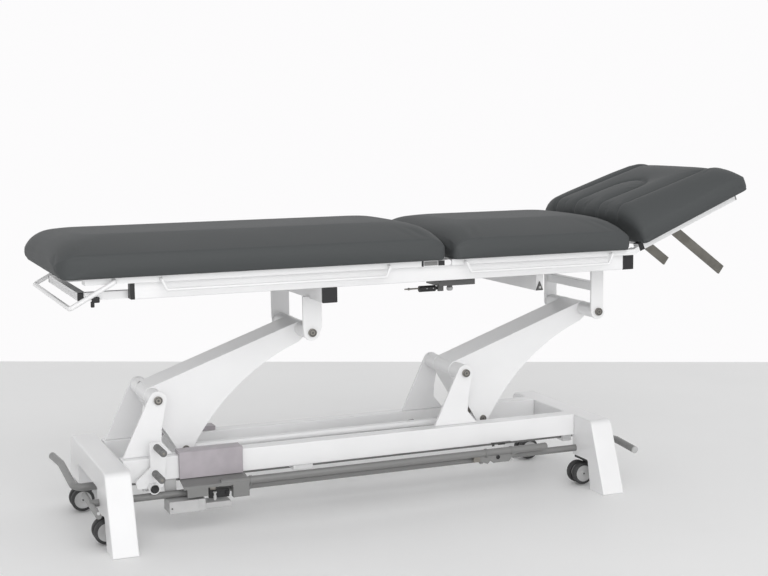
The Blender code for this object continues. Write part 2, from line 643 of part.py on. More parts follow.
def build_top(top):
    """The welded top frame and the release bracket with its lever."""
    upper_z = PIVOT_A_Z + ARM_B[1]
    b1 = PIVOT_A_X + ARM_B[0]
    b2 = b1 + ARM_SPACING
    tube_top = TOP_RAIL_BOTTOM - GAP
    tube_low = tube_top - CROSS_TUBE
    outer = HANGER_INNER + HANGER_THICK
    for side, way in (("near", -1), ("far", 1)):
        low, high = sorted((way * TOP_RAIL_INNER, way * TOP_RAIL_OUTER))
        rail = box(TOP_RAIL_FOOT, TOP_RAIL_HEAD, low, high, TOP_RAIL_BOTTOM, TOP_RAIL_TOP)
        white("top_rail_" + side, rail, top)

    tube = box(b1 - 0.0055, b1 + 0.0345, -0.245, 0.245, tube_low, tube_top)
    plates = []
    for way in (-1, 1):
        low, high = sorted((way * HANGER_INNER, way * outer))
        plates.append(prism(hanger_plates(b1, upper_z, 0.0241, 0.0287, tube_low + 0.006), "y", low, high))
    bore = disc(b1, upper_z, PIN + BORE, "y", -0.3, 0.3, 16)
    white("hanger_foot", joined(tube, plates, [bore]), top)

    inner = TOP_RAIL_INNER - GAP
    tube = box(b2 - 0.0225, b2 + 0.018, -inner, inner, TOP_RAIL_BOTTOM + 0.001, TOP_RAIL_TOP - 0.001)
    plates = []
    for way in (-1, 1):
        low, high = sorted((way * HANGER_INNER, way * outer))
        plates.append(prism(hanger_plates(b2, upper_z, 0.0225, 0.018, TOP_RAIL_BOTTOM + 0.006), "y", low, high))
    plates.append(box(b2 - 0.0175, b2 + 0.0075, -HANGER_INNER - 0.003, HANGER_INNER + 0.003, 0.5585, 0.583))
    bore = disc(b2, upper_z, PIN + BORE, "y", -0.3, 0.3, 16)
    white("hanger_head", joined(tube, plates, [bore]), top)

    x = TOP_RAIL_FOOT
    cross = box(x - 0.130, x - 0.110, -inner, inner, TOP_RAIL_BOTTOM, TOP_RAIL_BOTTOM + 0.020)
    arms = []
    for way in (-1, 1):
        low, high = sorted((way * (inner - 0.020), way * inner))
        arms.append(box(x - 0.120, x + 0.060, low, high, TOP_RAIL_BOTTOM + 0.0002, TOP_RAIL_BOTTOM + 0.0198))
    white("foot_stretcher", joined(cross, arms), top)

    plate_low = TOP_RAIL_BOTTOM - 0.019
    plate_top = plate_low + 0.013
    plate_x = LEVER[0] - 0.010
    plate = box(plate_x, plate_x + 0.108, -inner, -0.135, plate_low, plate_top)
    flange = box(plate_x + 0.005, plate_x + 0.108, -inner, -inner + 0.004, plate_top - 0.004, plate_top + 0.038)
    ear = box(LEVER[0] - 0.008, LEVER[0] + 0.008, -0.2105, -0.2045, LEVER[1] - 0.008, plate_low + 0.004)
    stub = disc(LEVER[0], LEVER[1], 0.003, "y", -0.208, -0.192, 12)
    knob = disc(LEVER[0] + 0.0425, -0.175, 0.0075, "z", plate_low - 0.018, plate_low + 0.004, 16)
    post_low, post_top = plate_top - 0.006, plate_top + 0.026
    post_x = SPRING_FOOT[0]
    post = box(post_x - 0.010, post_x + 0.010, SPRING_Y - 0.018, SPRING_Y - 0.012, post_low, post_top)
    pin = disc(SPRING_FOOT[0], SPRING_FOOT[1], 0.004, "y", SPRING_Y - 0.016, SPRING_Y + 0.012, 12)
    dark("lever_bracket", joined(plate, [flange, ear, stub, knob, post, pin]), top)

    axis = pivot("release_axis", (LEVER[0], -0.200, LEVER[1]), top)
    grip = swept([(LEVER[0] - 0.060, -0.200, LEVER[1]), (LEVER[0] - 0.013, -0.200, LEVER[1])], 0.0085, 0, 12)
    shank = box(LEVER[0] - 0.020, LEVER[0] + 0.005, -0.2040, -0.1970, LEVER[1] - 0.004, LEVER[1] + 0.0045)
    bore = disc(LEVER[0], LEVER[1], 0.003 + BORE, "y", -0.3, -0.1, 12)
    dark("release_lever", joined(grip, [shank], [bore]), axis)


def pad(x0, x1, bottom, crease, crown, half, inner, noses, groove=None, across=(0.97, 0.9, 0.78, 0.55, 0.28)):
    """A cushion as a loft of cross-sections: bullnosed ends, a creased side and a crowned top."""
    plan = PAD_PLAN_CORNER
    steps = (0.0, 0.05, 0.16, 0.36, 0.65, 1.0)
    stations = [x0 + f * noses[0] for f in steps]
    span = x1 - x0 - sum(noses)
    stations += [x0 + noses[0] + span * (i + 1) / (inner + 1) for i in range(inner)]
    stations += [x1 - f * noses[1] for f in reversed(steps)]
    rings = []
    for x in stations:
        d = min(x - x0, x1 - x)
        nose = noses[0] if x - x0 < x1 - x else noses[1]
        to_nose = nose - min(d, nose)
        drop = nose - math.sqrt(nose * nose - to_nose * to_nose)
        to_plan = plan - min(d, plan)
        width = half - plan + math.sqrt(plan * plan - to_plan * to_plan)
        low = bottom + 0.005 * max(0.0, 1 - d / 0.015)
        top = crown - drop
        edge = crease - 0.71 * drop
        side = [(0.55 * width, low), (width - 0.010, low), (width - 0.0055, low + 0.004)]
        side += [(width, (low + edge) / 2), (width - 0.002, edge)]
        for f in across:
            y = f * (width - 0.002)
            side.append((y, edge + (top - edge) * (1 - f**5)))
        loop = [(0.0, low)] + side + [(0.0, top)] + [(-y, z) for y, z in reversed(side)]
        ring = []
        for y, z in loop:
            cut = groove(x, abs(y)) if groove and z > edge else 0.0
            ring.append(Vector((x, y, z - cut)))
        rings.append(ring)
    return lofted(rings)


def head_groove(s, y):
    """Depth of the head pad's stitched grooves: two straight ones and a U round the middle."""
    straight = abs(y - HEAD_SEAM)
    turn = HEAD_U_END - HEAD_U_HALF
    ring = abs(y - HEAD_U_HALF) if s < turn else abs(math.hypot(y, s - turn) - HEAD_U_HALF)
    near = min(straight, ring)
    return HEAD_GROOVE * max(0.0, 1 - near / 0.016)


def side_rod(x0, x1, way):
    """A thin rail along the side of a section, its ends turned up and in to the frame."""
    y = way * ROD_Y
    inner = way * (FRAME_OUTER + GAP)
    path = [(x0, inner, FRAME_MID), (x0, y, FRAME_MID), (x0 + 0.012, y, FRAME_MID - 0.0265)]
    path += [(x1 - 0.012, y, FRAME_MID - 0.0265), (x1, y, FRAME_MID), (x1, inner, FRAME_MID)]
    return swept(path, 0.004, 0.006, 8, 3)


def between(way, low, high):
    """A span of distances from the middle plane, on one side of it."""
    return sorted((way * low, way * high))


def build_leg(top):
    """Leg section, fixed on the top frame, with the paper roll holder at its end."""
    shapes = []
    bores = []
    knuckle = 0.0077
    for way in (-1, 1):
        inner, outer = between(way, FRAME_INNER, FRAME_OUTER)
        shapes.append(box(TOP_RAIL_FOOT - 0.120, MID_HINGE_X - 0.0090, inner, outer, FRAME_LOW, FRAME_TOP))
        inner, outer = between(way, KNUCKLE_SPLIT + GAP, FRAME_OUTER - 0.0002)
        shapes.append(box(MID_HINGE_X - 0.012, MID_HINGE_X, inner, outer, FRAME_LOW + 0.0002, FRAME_TOP - 0.0002))
        shapes.append(disc(MID_HINGE_X, FRAME_MID, knuckle - 0.0003, "y", inner, outer, 16))
        inner, outer = between(way, KNUCKLE_SPLIT - 0.002, 0.2615)
        bores.append(disc(MID_HINGE_X, FRAME_MID, 0.003 + BORE, "y", inner, outer, 12))
        inner, outer = between(way, 0.244, 0.280)
        bores.append(disc(HOLDER[0], HOLDER[1], 0.004 + BORE, "y", inner, outer, 12))
    reach = FRAME_INNER + 0.005
    for x in (-0.620, 0.080):
        shapes.append(box(x, x + 0.040, -reach, reach, FRAME_LOW + 0.001, FRAME_TOP - 0.001))
    white("leg_frame", joined(shapes[0], shapes[1:], bores), top)
    cushion("leg_pad", pad(*LEG_PAD, PAD_BOTTOM, PAD_CREASE, PAD_TOP, PAD_HALF, 4, (PAD_NOSE, PAD_NOSE)), top)
    white("leg_rod_near", side_rod(-0.575, 0.030, -1), top)
    white("leg_rod_far", side_rod(-0.575, 0.030, 1), top)

    axis = pivot("paper_holder_axis", (HOLDER[0], 0, HOLDER[1]), top)
    y = ROD_Y
    inner = FRAME_OUTER + 0.002
    x, z = HOLDER[0] - 0.110, HOLDER[1] - 0.0595
    path = [(HOLDER[0], -inner, HOLDER[1]), (HOLDER[0], -y, HOLDER[1]), (x, -y, z), (x, y, z)]
    path += [(HOLDER[0], y, HOLDER[1]), (HOLDER[0], inner, HOLDER[1])]
    rod = swept(path, 0.006, 0.008, 10, 3)
    pins = [disc(HOLDER[0], HOLDER[1], 0.004, "y", *between(way, 0.246, 0.272), 12) for way in (-1, 1)]
    white("paper_holder", joined(rod, pins), axis)


def build_mid(top):
    """Middle section on its hinge, with its gas spring."""
    section = pivot("mid_hinge", (MID_HINGE_X, 0, FRAME_MID), top)
    shapes = []
    bores = []
    for way in (-1, 1):
        inner, outer = between(way, FRAME_INNER, FRAME_OUTER)
        shapes.append(box(MID_HINGE_X + 0.0090, 0.7835, inner, outer, FRAME_LOW, FRAME_TOP))
        inner, outer = between(way, FRAME_INNER + 0.0002, KNUCKLE_SPLIT)
        shapes.append(box(MID_HINGE_X, MID_HINGE_X + 0.012, inner, outer, FRAME_LOW + 0.0002, FRAME_TOP - 0.0002))
        shapes.append(disc(MID_HINGE_X, FRAME_MID, 0.0074, "y", inner, outer, 16))
        inner, outer = between(way, KNUCKLE_SPLIT - 0.004, 0.2600)
        shapes.append(disc(MID_HINGE_X, FRAME_MID, 0.003, "y", inner, outer, 12))
        inner, outer = between(way, FRAME_INNER + 0.0002, HEAD_SPLIT)
        shapes.append(box(0.775, HEAD_HINGE[0], inner, outer, FRAME_LOW + 0.0012, FRAME_TOP - 0.0002))
        shapes.append(disc(HEAD_HINGE[0], HEAD_HINGE[1], 0.0080, "y", inner, outer, 16))
        inner, outer = between(way, HEAD_SPLIT - 0.004, 0.2455)
        shapes.append(disc(HEAD_HINGE[0], HEAD_HINGE[1], 0.003, "y", inner, outer, 12))
    reach = FRAME_INNER + 0.005
    for x0, x1 in ((0.265, 0.300), (0.503, 0.529), (0.735, 0.765)):
        shapes.append(box(x0, x1, -reach, reach, FRAME_LOW + 0.001, FRAME_TOP - 0.001))
    shapes.append(box(0.505, 0.527, -CROSS_PLATE, CROSS_PLATE, 0.5785, FRAME_LOW + 0.006))
    for offset in (-0.0105, 0.0105):
        y = SPRING_Y + offset
        shapes.append(box(0.483, 0.507, y - 0.0025, y + 0.0025, SPRING_FOOT[1] - 0.010, SPRING_FOOT[1] + 0.010))
    white("mid_frame", joined(shapes[0], shapes[1:]), section)
    crease, crown = PAD_CREASE - MID_SINK, PAD_TOP - MID_SINK
    shape = pad(*MID_PAD, PAD_BOTTOM, crease, crown, PAD_HALF, 3, (PAD_NOSE, PAD_NOSE))
    cushion("mid_pad", shape, section)
    white("mid_rod_near", side_rod(0.250, 0.700, -1), section)
    white("mid_rod_far", side_rod(0.250, 0.700, 1), section)

    x, z = SPRING_FOOT
    axis = pivot("gas_spring_axis", (x, SPRING_Y, z), top)
    body = swept([(x + 0.012, SPRING_Y, z), (x + 0.140, SPRING_Y, z)], 0.011, 0, 14)
    neck = swept([(x + 0.006, SPRING_Y, z), (x + 0.016, SPRING_Y, z)], 0.0055, 0, 10)
    eye = disc(x, z, 0.009, "y", SPRING_Y - 0.006, SPRING_Y + 0.006, 14)
    bores = [
        disc(x, z, 0.004 + BORE, "y", SPRING_Y - 0.02, SPRING_Y + 0.02, 12),
        swept([(x + 0.045, SPRING_Y, z), (x + 0.2, SPRING_Y, z)], 0.005 + BORE, 0, 12),
    ]
    dark("gas_spring_body", joined(body, [neck, eye], bores), axis)
    slide = pivot("gas_spring_slide", (SPRING_END_X, SPRING_Y, z), axis)
    rod = swept([(x + 0.060, SPRING_Y, z), (SPRING_END_X - 0.004, SPRING_Y, z)], 0.005, 0, 12)
    eye = disc(SPRING_END_X, z, 0.008, "y", SPRING_Y - 0.005, SPRING_Y + 0.005, 14)
    steel("gas_spring_rod", joined(rod, [eye]), slide)
    return section


def tilted(obj):
    """Turn a shape drawn along the head section up to the section's rest tilt."""
    turn = Matrix.Rotation(-HEAD_TILT, 4, "Y")
    obj.data.transform(Matrix.Translation((HEAD_HINGE[0], 0, HEAD_HINGE[1])) @ turn)
    return obj


def build_head(section):
    """Head section on its hinge, with the two adjusting levers on their cross shaft."""
    head = pivot("head_hinge", (HEAD_HINGE[0], 0, HEAD_HINGE[1]), section)
    shapes = []
    bores = []
    for way in (-1, 1):
        inner, outer = between(way, FRAME_INNER, 0.250)
        shapes.append(box(0.012, 0.365, inner, outer, -0.0068, 0.0152))
        inner, outer = between(way, HEAD_SPLIT + GAP, 0.2498)
        shapes.append(box(0.0, 0.016, inner, outer, -0.0060, 0.0080))
        shapes.append(disc(0.0, 0.0, 0.0080, "y", inner, outer, 16))
        inner, outer = between(way, HEAD_SPLIT - 0.003, 0.2475)
        bores.append(disc(0.0, 0.0, 0.003 + BORE, "y", inner, outer, 12))
        inner, outer = between(way, FRAME_INNER - 0.004, 0.2365)
        bores.append(disc(*LEVER_ROOT, 0.006 + BORE, "y", inner, outer, 14))
    for s in (0.040, 0.330):
        shapes.append(box(s, s + 0.030, -FRAME_INNER - 0.005, FRAME_INNER + 0.005, -0.0040, 0.0140))
    white("head_frame", tilted(joined(shapes[0], shapes[1:], bores)), head)
    shape = pad(
        *HEAD_PAD, HEAD_BASE, HEAD_CREASE, HEAD_TOP, PAD_HALF + 0.002, 14, HEAD_NOSES, head_groove,
        (0.98, 0.92, 0.82, 0.72, 0.66, 0.60, 0.55, 0.48, 0.38, 0.30, 0.235, 0.17, 0.08),
    )
    cushion("head_pad", tilted(shape), head)

    cos, sin = math.cos(HEAD_TILT), math.sin(HEAD_TILT)
    x = HEAD_HINGE[0] + LEVER_ROOT[0] * cos - LEVER_ROOT[1] * sin
    z = HEAD_HINGE[1] + LEVER_ROOT[0] * sin + LEVER_ROOT[1] * cos
    axis = pivot("head_lever_axis", (x, 0, z), head)
    along = Vector((LEVER_TIP[0] - x, LEVER_TIP[1] - z))
    length = along.length
    along.normalize()
    outline = arc((0, 0), 0.0115, 90, 270, 8) + [(0.03, -0.014), (length, -0.014), (length, 0.014), (0.03, 0.014)]
    outline = [(x + along.x * u - along.y * v, z + along.y * u + along.x * v) for u, v in outline]
    bars = [prism(outline, "y", way * 0.145 - 0.0035, way * 0.145 + 0.0035) for way in (-1, 1)]
    shaft = disc(x, z, 0.006, "y", -0.2345, 0.2345, 14)
    steel("head_levers", joined(shaft, bars), axis)


def centre(root):
    """Slide the whole table along X so that its box is centred on the origin."""
    bpy.context.view_layer.update()
    ends = []
    for obj in bpy.data.objects:
        if obj.type == "MESH":
            ends.extend((obj.matrix_world @ vertex.co).x for vertex in obj.data.vertices)
    root.location.x = -(min(ends) + max(ends)) / 2
    bpy.context.view_layer.update()
    print("shift along X", round(root.location.x, 5))


def main():
    clear_scene()
    root = pivot("table", (0, 0, 0), None)
    build_base(root)
    build_controls(root)
    build_castors(root)
    top = build_lift(root)
    build_top(top)
    build_leg(top)
    build_head(build_mid(top))
    centre(root)


main()
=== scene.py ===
"""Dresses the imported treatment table: softened metalwork, sewn pads, castors, caps, fixings, studio."""

import json
import math

import bmesh
import bpy
from mathutils import Matrix, Vector


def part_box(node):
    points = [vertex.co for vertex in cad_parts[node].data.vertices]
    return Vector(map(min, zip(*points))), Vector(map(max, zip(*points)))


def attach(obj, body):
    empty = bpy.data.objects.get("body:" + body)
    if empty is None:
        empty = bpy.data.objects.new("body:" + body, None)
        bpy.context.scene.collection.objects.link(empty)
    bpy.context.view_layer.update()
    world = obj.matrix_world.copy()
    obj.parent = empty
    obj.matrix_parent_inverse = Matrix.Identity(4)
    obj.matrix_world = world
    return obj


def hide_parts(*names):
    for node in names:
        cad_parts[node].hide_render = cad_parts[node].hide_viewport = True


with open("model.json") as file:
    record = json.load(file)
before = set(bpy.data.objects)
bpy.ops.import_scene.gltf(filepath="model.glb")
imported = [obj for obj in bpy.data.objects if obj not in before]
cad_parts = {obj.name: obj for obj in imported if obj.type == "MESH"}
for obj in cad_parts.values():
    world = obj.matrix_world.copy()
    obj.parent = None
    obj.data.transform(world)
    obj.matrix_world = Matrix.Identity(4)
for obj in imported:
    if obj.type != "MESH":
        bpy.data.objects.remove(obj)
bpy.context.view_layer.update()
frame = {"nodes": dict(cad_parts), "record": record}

bl_info = {
    "name": "Treatment table",
    "version": (1, 0, 0),
    "blender": (4, 5, 0),
    "location": "View3D > Sidebar > Table",
    "description": "Builds the visual model of a height adjustable treatment table round its packed frame",
    "category": "Add Mesh",
}

NODES = frame["nodes"]
BODY_OF = {}
for body, members in frame["record"]["behaviour"]["bodies"].items():
    for member in members:
        BODY_OF[member] = body
SLOT_OF = {row["node"]: row["material_slot"] for row in frame["record"]["subparts"]}
JOINTS = {row["name"]: row for row in frame["record"]["behaviour"]["joints"]}
# The record counts X from the middle of the table's box, the places below from the middle of the base.
LIFT_X = -0.5584
SHIFT = JOINTS["lift"]["pos_m"][0] - LIFT_X
HEAD_AT = Vector(JOINTS["head_tilt"]["pos_m"])
HEAD_TILT = math.radians(22.5)
SIDES = (("near", -1), ("far", 1))

# The camera, fitted to the photograph: its angles in degrees and its place from the middle of the base.
YAW, PITCH, ROLL = (math.radians(angle) for angle in (22.309, 7.039, -0.689))
SEAT = (-1.354, -3.6047, 1.0677)
SENSOR = 36.0
# The studio: the wall's line on the floor, its colour, and the strength of the room's light.
WALL_TURN = math.radians(26.536)
WALL_DEPTH = 2.166
WALL_COLOUR = (0.974, 0.968, 0.974, 1)
WHITE = (1, 1, 1, 1)
WALL_LIGHT = 0.94
CEILING_LIGHT = 0.55
# How far the floor lies under the feet, half its width, and the large low lamp in front.
FLOOR_DROP = 0.0004
FLOOR_HALF = 30
LAMP_PLACE = (-1.0, -6.2, 3.1)
LAMP_AIM = (0, 0, 0.45)
LAMP_SIZE = 6.5
LAMP_POWER = 198.0

# Faces that meet at more than this are an edge to round, an outline with this many segments.
SHARP = math.radians(40)
OUTLINE_SEGMENTS = 4
# Small fittings have edges rounded by this share of a plate's.
SMALL_SHARE = 0.7
# The outside of an end leg: half its width at the floor, how fast it narrows upwards, the width past which
# any edge counts, how far inside an edge still counts, and the heights over its feet and under its top.
LEG_HALF = 0.3072
LEG_LEAN = 0.36
LEG_LIMIT = 0.24
LEG_BAND = 0.014
LEG_FOOT = 0.004
LEG_TOP = 0.196

# What the two flat pads share: height of the base, half width, how square the top is, and the mesh's cells.
FLAT_PAD = {"base": 0.6876, "half": 0.290, "power": 5, "cell": 0.008, "across": 36}
FLAT_CORNER = 0.024
FLAT_NOSE = (0.062, 0.060)
FLAT_TUCK = (0.014, 0.014)
# Each pad along its own length: its ends, the radius of its plan corners at each, the length and depth of
# each end's nose and of the tuck under it, and the heights of its crease and its crown. Those of the head
# pad are counted from its hinge, along its slope.
PADS = {
    "leg_pad": {
        **FLAT_PAD, "ends": (-0.832, 0.194), "plans": (0.046, FLAT_CORNER),
        "noses": ((0.066, 0.058), FLAT_NOSE), "tucks": ((0.030, 0.026), FLAT_TUCK),
        "crease": 0.748, "crown": 0.783,
    },
    "mid_pad": {
        **FLAT_PAD, "ends": (0.209, 0.763), "plans": (FLAT_CORNER, FLAT_CORNER),
        "noses": (FLAT_NOSE, FLAT_NOSE), "tucks": (FLAT_TUCK, FLAT_TUCK),
        "crease": 0.744, "crown": 0.779,
    },
    "head_pad": {
        "ends": (0.012, 0.402), "plans": (0.020, 0.030), "noses": ((0.040, 0.046), (0.074, 0.048)),
        "tucks": ((0.012, 0.012), (0.014, 0.012)), "base": 0.0157, "crease": 0.066, "crown": 0.137,
        "half": 0.292, "power": 6, "cell": 0.0065, "across": 76,
    },
}
# Near its ends a pad's crease isn't held, so that the corners stay round.
END_FREE = 0.040
# Points near an end are set closer together, over this length.
END_BEND = 0.03
END_STEPS = 8
# A pad's side: the base stops short of it, two points round the hem, and the side bows out above it.
BASE_INSET = 0.012
HEM = ((0.006, 0.0012), (0.0025, 0.0042))
SIDE_STEPS = 10
SIDE_BOW = 0.0060
SIDE_LEAN = 0.0005
# The head pad: its wedge, its lower middle with the offset and width of that one's edge, and the depth and
# width of its channels, soft ones with a stitched line in them.
HEAD_WEDGE = 0.080
HEAD_MIDDLE = 0.006
MIDDLE_EDGE = (0.012, 0.030)
SOFT_CHANNEL = (0.0060, 0.012)
STITCHED_CHANNEL = (0.0075, 0.0036)
# How near to a seam points are held, where the straight seams lie, and half the U's width and its end.
SEAM_HELD = 0.004
HEAD_SEAM = 0.176
HEAD_U_HALF = 0.068
HEAD_U_END = 0.235
# Cloth of the pads' covers, and how many steps it takes to fill.
CLOTH = {
    "quality": 4,
    "mass": 0.3,
    "tension_stiffness": 12,
    "compression_stiffness": 12,
    "shear_stiffness": 4,
    "bending_stiffness": 0.6,
    "use_pressure": True,
    "uniform_pressure_force": 4,
}
CLOTH_FRAMES = 20
# Share of the swell that a pad is drawn in by first, and the cosine past which a point faces down.
DRAWN_IN = 0.5
FACES_DOWN = 0.8

# Castors: half the gap between the twin wheels, the axle, and how far it goes into each hub.
WHEEL_GAP_HALF = 0.0067
AXLE_RADIUS = 0.0042
AXLE_IN_HUB = 0.001

# Caps: rounding, how far a cap stands proud, and how far one reaches over each end of a top rail.
CAP_ROUND = 0.0018
CAP_PROUD = 0.0004
RAIL_CAP_FOOT = 0.004
RAIL_CAP_FOOT_LIP = 0.0065
RAIL_CAP_HEAD = 0.034
# Caps of the foot hanger and of the foot stretcher: place along, inner end across, and length.
HANGER_CAP_X = -0.1470
HANGER_CAP_INNER = 0.2375
HANGER_CAP_SIZE = 0.040
STRETCHER_CAP_INNER = 0.214
STRETCHER_CAP_SIZE = 0.014
STRETCHER_CAP_LIP = 0.0025
# What stands along the leg frame's bar at the middle hinge: start, end, finish and how much it is drawn in.
HINGE_INNER = 0.2251
HINGE = {
    "leg_cap_": (0.1240, 0.1310, "black_plastic", 0.0),
    "hinge_leaf_": (0.1310, 0.1720, "grey_paint", 0.0012),
    "hinge_knuckle_": (0.1720, 0.1920, "black_plastic", 0.0006),
}
HINGE_SIDE_SHARE = 0.2
# The head frame's bar across and above the head section, and what stands along it.
HEAD_BAR = ((0.2255, -0.0068), (0.2500, 0.0152))
HEAD_BAR_PROUD = 0.0005
HEAD_BAR_ROUND = 0.0016
HEAD_ENDS = {
    "head_cap_": (0.0125, 0.0290, "black_plastic"),
    "head_end_": (0.3615, 0.3662, "grey_paint"),
}
HOOK_X = -0.737

# Bolts: radii of the heads, and how far out those on the arms' lobes sit.
PIN_BOLT = 0.0112
LOBE_BOLT = 0.0105
LOBE_HALF = 0.056

# Foot controls: the rocker's pegs along and up, and where their sleeves start across.
PEGS = (("upper", -0.575, 0.2345), ("lower", -0.581, 0.1665))
PEG_ROOT = -0.1630
# The last bend and the tip of each castor lever, and where the T bar and the foot bar lie.
LEVERS = {
    "foot": ((-0.765, 0.172, 0.1355), (-0.775, 0.257, 0.1395)),
    "head": ((0.765, -0.205, 0.1285), (0.772, -0.292, 0.1165)),
}
T_BAR_X = -0.745
T_BAR_Z = 0.104
FOOT_BAR_Y = -0.182
FOOT_BAR_Z = 0.1275
# The switch's plunger, the control box's top and screw, and what sits on the foot bar's vee plate.
PLUNGER_AT = (-0.4300, -0.1795, 0.0835)
BOX_TOP = 0.0935
BOX_SCREW_X = -0.5460
BOX_SCREW_Z = 0.0760
VEE_FACE = -0.1845
VEE_EYE_AT = (0.3900, VEE_FACE, 0.1120)
VEE_STOP_AT = (0.4330, VEE_FACE, 0.1030)

# The release: rivets along its grip and how far over the pivot, the pull rod, and the bracket's knob.
RIVETS_X = (0.1648, 0.1837)
GRIP_FACE = -0.2082
RIVET_RISE = 0.0008
ROD_X = 0.1020
ROD_Y = -0.2000
ROD_RISE = 0.0015
KNOB_X = 0.2475
KNOB_Y = -0.1750
# The three cornered shoe on the middle section's cross plate, and its screw.
SHOE_AT = (0.5030, 0.5795)
SHOE_CORNERS = ((0.0, 0.0), (0.022, 0.0), (0.011, 0.026))
SHOE_OUTER = -0.2010
SHOE_INNER = -0.1952
SHOE_ROUND = 0.0012
SHOE_SCREW_AT = (0.5140, SHOE_OUTER, 0.5880)


class TableSizes(bpy.types.PropertyGroup):
    """Sizes that change the look without changing the frame."""

    edge_round: bpy.props.FloatProperty(
        name="Edge round", description="Rounding of tube and casting edges", default=0.0025, unit="LENGTH"
    )
    casting_round: bpy.props.FloatProperty(
        name="Casting round", description="Rounding of the end legs' outline", default=0.0045, unit="LENGTH"
    )
    plate_round: bpy.props.FloatProperty(
        name="Plate round", description="Rounding of cut plate edges", default=0.0009, unit="LENGTH"
    )
    pad_swell: bpy.props.FloatProperty(
        name="Pad swell", description="Most that a point of a pad may swell", default=0.006, unit="LENGTH"
    )
    cap_lip: bpy.props.FloatProperty(
        name="Cap lip", description="How far an end cap stands out", default=0.0015, unit="LENGTH"
    )
    lens: bpy.props.FloatProperty(name="Lens", description="Focal length of the camera in mm", default=65.2)


class TableColours(bpy.types.PropertyGroup):
    """Linear colours of the finishes."""

    paint: bpy.props.FloatVectorProperty(
        name="Paint", description="White gloss paint", subtype="COLOR", default=(0.84, 0.84, 0.845)
    )
    leather: bpy.props.FloatVectorProperty(
        name="Leather", description="Pad cover", subtype="COLOR", default=(0.049, 0.0535, 0.055)
    )
    grey: bpy.props.FloatVectorProperty(
        name="Grey tube", description="Grey powder coat", subtype="COLOR", default=(0.205, 0.205, 0.202)
    )
    plum: bpy.props.FloatVectorProperty(
        name="Cover", description="Control covers' plastic", subtype="COLOR", default=(0.40, 0.37, 0.395)
    )
    black: bpy.props.FloatVectorProperty(
        name="Black plastic", description="Caps and grips", subtype="COLOR", default=(0.014, 0.014, 0.015)
    )
    steel: bpy.props.FloatVectorProperty(
        name="Steel", description="Brushed steel", subtype="COLOR", default=(0.30, 0.285, 0.26)
    )
    lever: bpy.props.FloatVectorProperty(
        name="Lever steel", description="Head levers", subtype="COLOR", default=(0.195, 0.188, 0.170)
    )
    light: bpy.props.FloatVectorProperty(
        name="Light plastic", description="Hubs and tips", subtype="COLOR", default=(0.48, 0.48, 0.48)
    )
    tyre: bpy.props.FloatVectorProperty(
        name="Tyre", description="Castor treads", subtype="COLOR", default=(0.045, 0.045, 0.046)
    )
    floor: bpy.props.FloatVectorProperty(
        name="Floor", description="Studio floor", subtype="COLOR", default=(0.94, 0.94, 0.94)
    )


class Field:
    """An output socket of a shader tree that takes part in Python arithmetic."""

    def __init__(self, tree, socket):
        self.tree = tree
        self.socket = socket

    def node(self, kind, settings=None, sockets=None, output=0):
        """Add any node: its settings first, then the values or links of its sockets."""
        made = self.tree.nodes.new(kind)
        for key, setting in (settings or {}).items():
            setattr(made, key, setting)
        for key, given in (sockets or {}).items():
            if isinstance(given, Field):
                self.tree.links.new(given.socket, made.inputs[key])
            else:
                made.inputs[key].default_value = given
        return Field(self.tree, made.outputs[output])

    def math(self, operation, *given):
        return self.node("ShaderNodeMath", {"operation": operation}, dict(enumerate(given)))

    def __add__(self, other):
        return self.math("ADD", self, other)

    def __radd__(self, other):
        return self.math("ADD", other, self)

    def __sub__(self, other):
        return self.math("SUBTRACT", self, other)

    def __rsub__(self, other):
        return self.math("SUBTRACT", other, self)

    def __mul__(self, other):
        return self.math("MULTIPLY", self, other)

    def __rmul__(self, other):
        return self.math("MULTIPLY", other, self)

    def __gt__(self, other):
        return self.math("GREATER_THAN", self, other)

    def __lt__(self, other):
        return self.math("LESS_THAN", self, other)

    def ramp(self, low, high):
        """0 below one value, 1 above another, smooth between."""
        return self.node(
            "ShaderNodeMapRange", {"interpolation_type": "SMOOTHSTEP"}, {0: self, 1: low, 2: high}
        )

    def mix(self, one, two):
        """One colour where this is 0, the other where it is 1."""
        first = one if isinstance(one, Field) else (*one, 1.0)
        second = two if isinstance(two, Field) else (*two, 1.0)
        return self.node("ShaderNodeMix", {"data_type": "RGBA"}, {0: self, 6: first, 7: second}, 2)

    def noise(self, scale, detail=2.0, roughness=0.5):
        """Noise over this position, per metre."""
        sockets = {"Vector": self, "Scale": scale, "Detail": detail, "Roughness": roughness}
        return self.node("ShaderNodeTexNoise", None, sockets)

    def part(self, axis):
        """One coordinate of this position."""
        return self.node("ShaderNodeSeparateXYZ", None, {0: self}, "XYZ".index(axis))


def seen_by(tree, *rays):
    """1 for these kinds of ray and 0 for any other."""
    light = tree.nodes.new("ShaderNodeLightPath")
    first, *others = (Field(tree, light.outputs[f"Is {ray} Ray"]) for ray in rays)
    total = sum(others, first)
    return total.math("MINIMUM", total, 1.0)


def finish(name, build, **fixed):
    """A material: build gets the position on the piece and returns what varies over the surface."""
    title = name + "_finish"
    made = bpy.data.materials.get(title)
    if made:
        return made
    made = bpy.data.materials.new(title)
    made.use_nodes = True
    tree = made.node_tree
    shader = tree.nodes["Principled BSDF"]
    place = tree.nodes.new("ShaderNodeTexCoord")
    for key, value in fixed.items():
        shader.inputs[key.replace("_", " ")].default_value = value
    varying = build(Field(tree, place.outputs["Object"]))
    for key, field in varying.items():
        if key == "Height":
            strength, distance, height = field
            bump = height.node(
                "ShaderNodeBump", None, {"Strength": strength, "Distance": distance, "Height": height}
            )
            tree.links.new(bump.socket, shader.inputs["Normal"])
        else:
            tree.links.new(field.socket, shader.inputs[key])
    return made


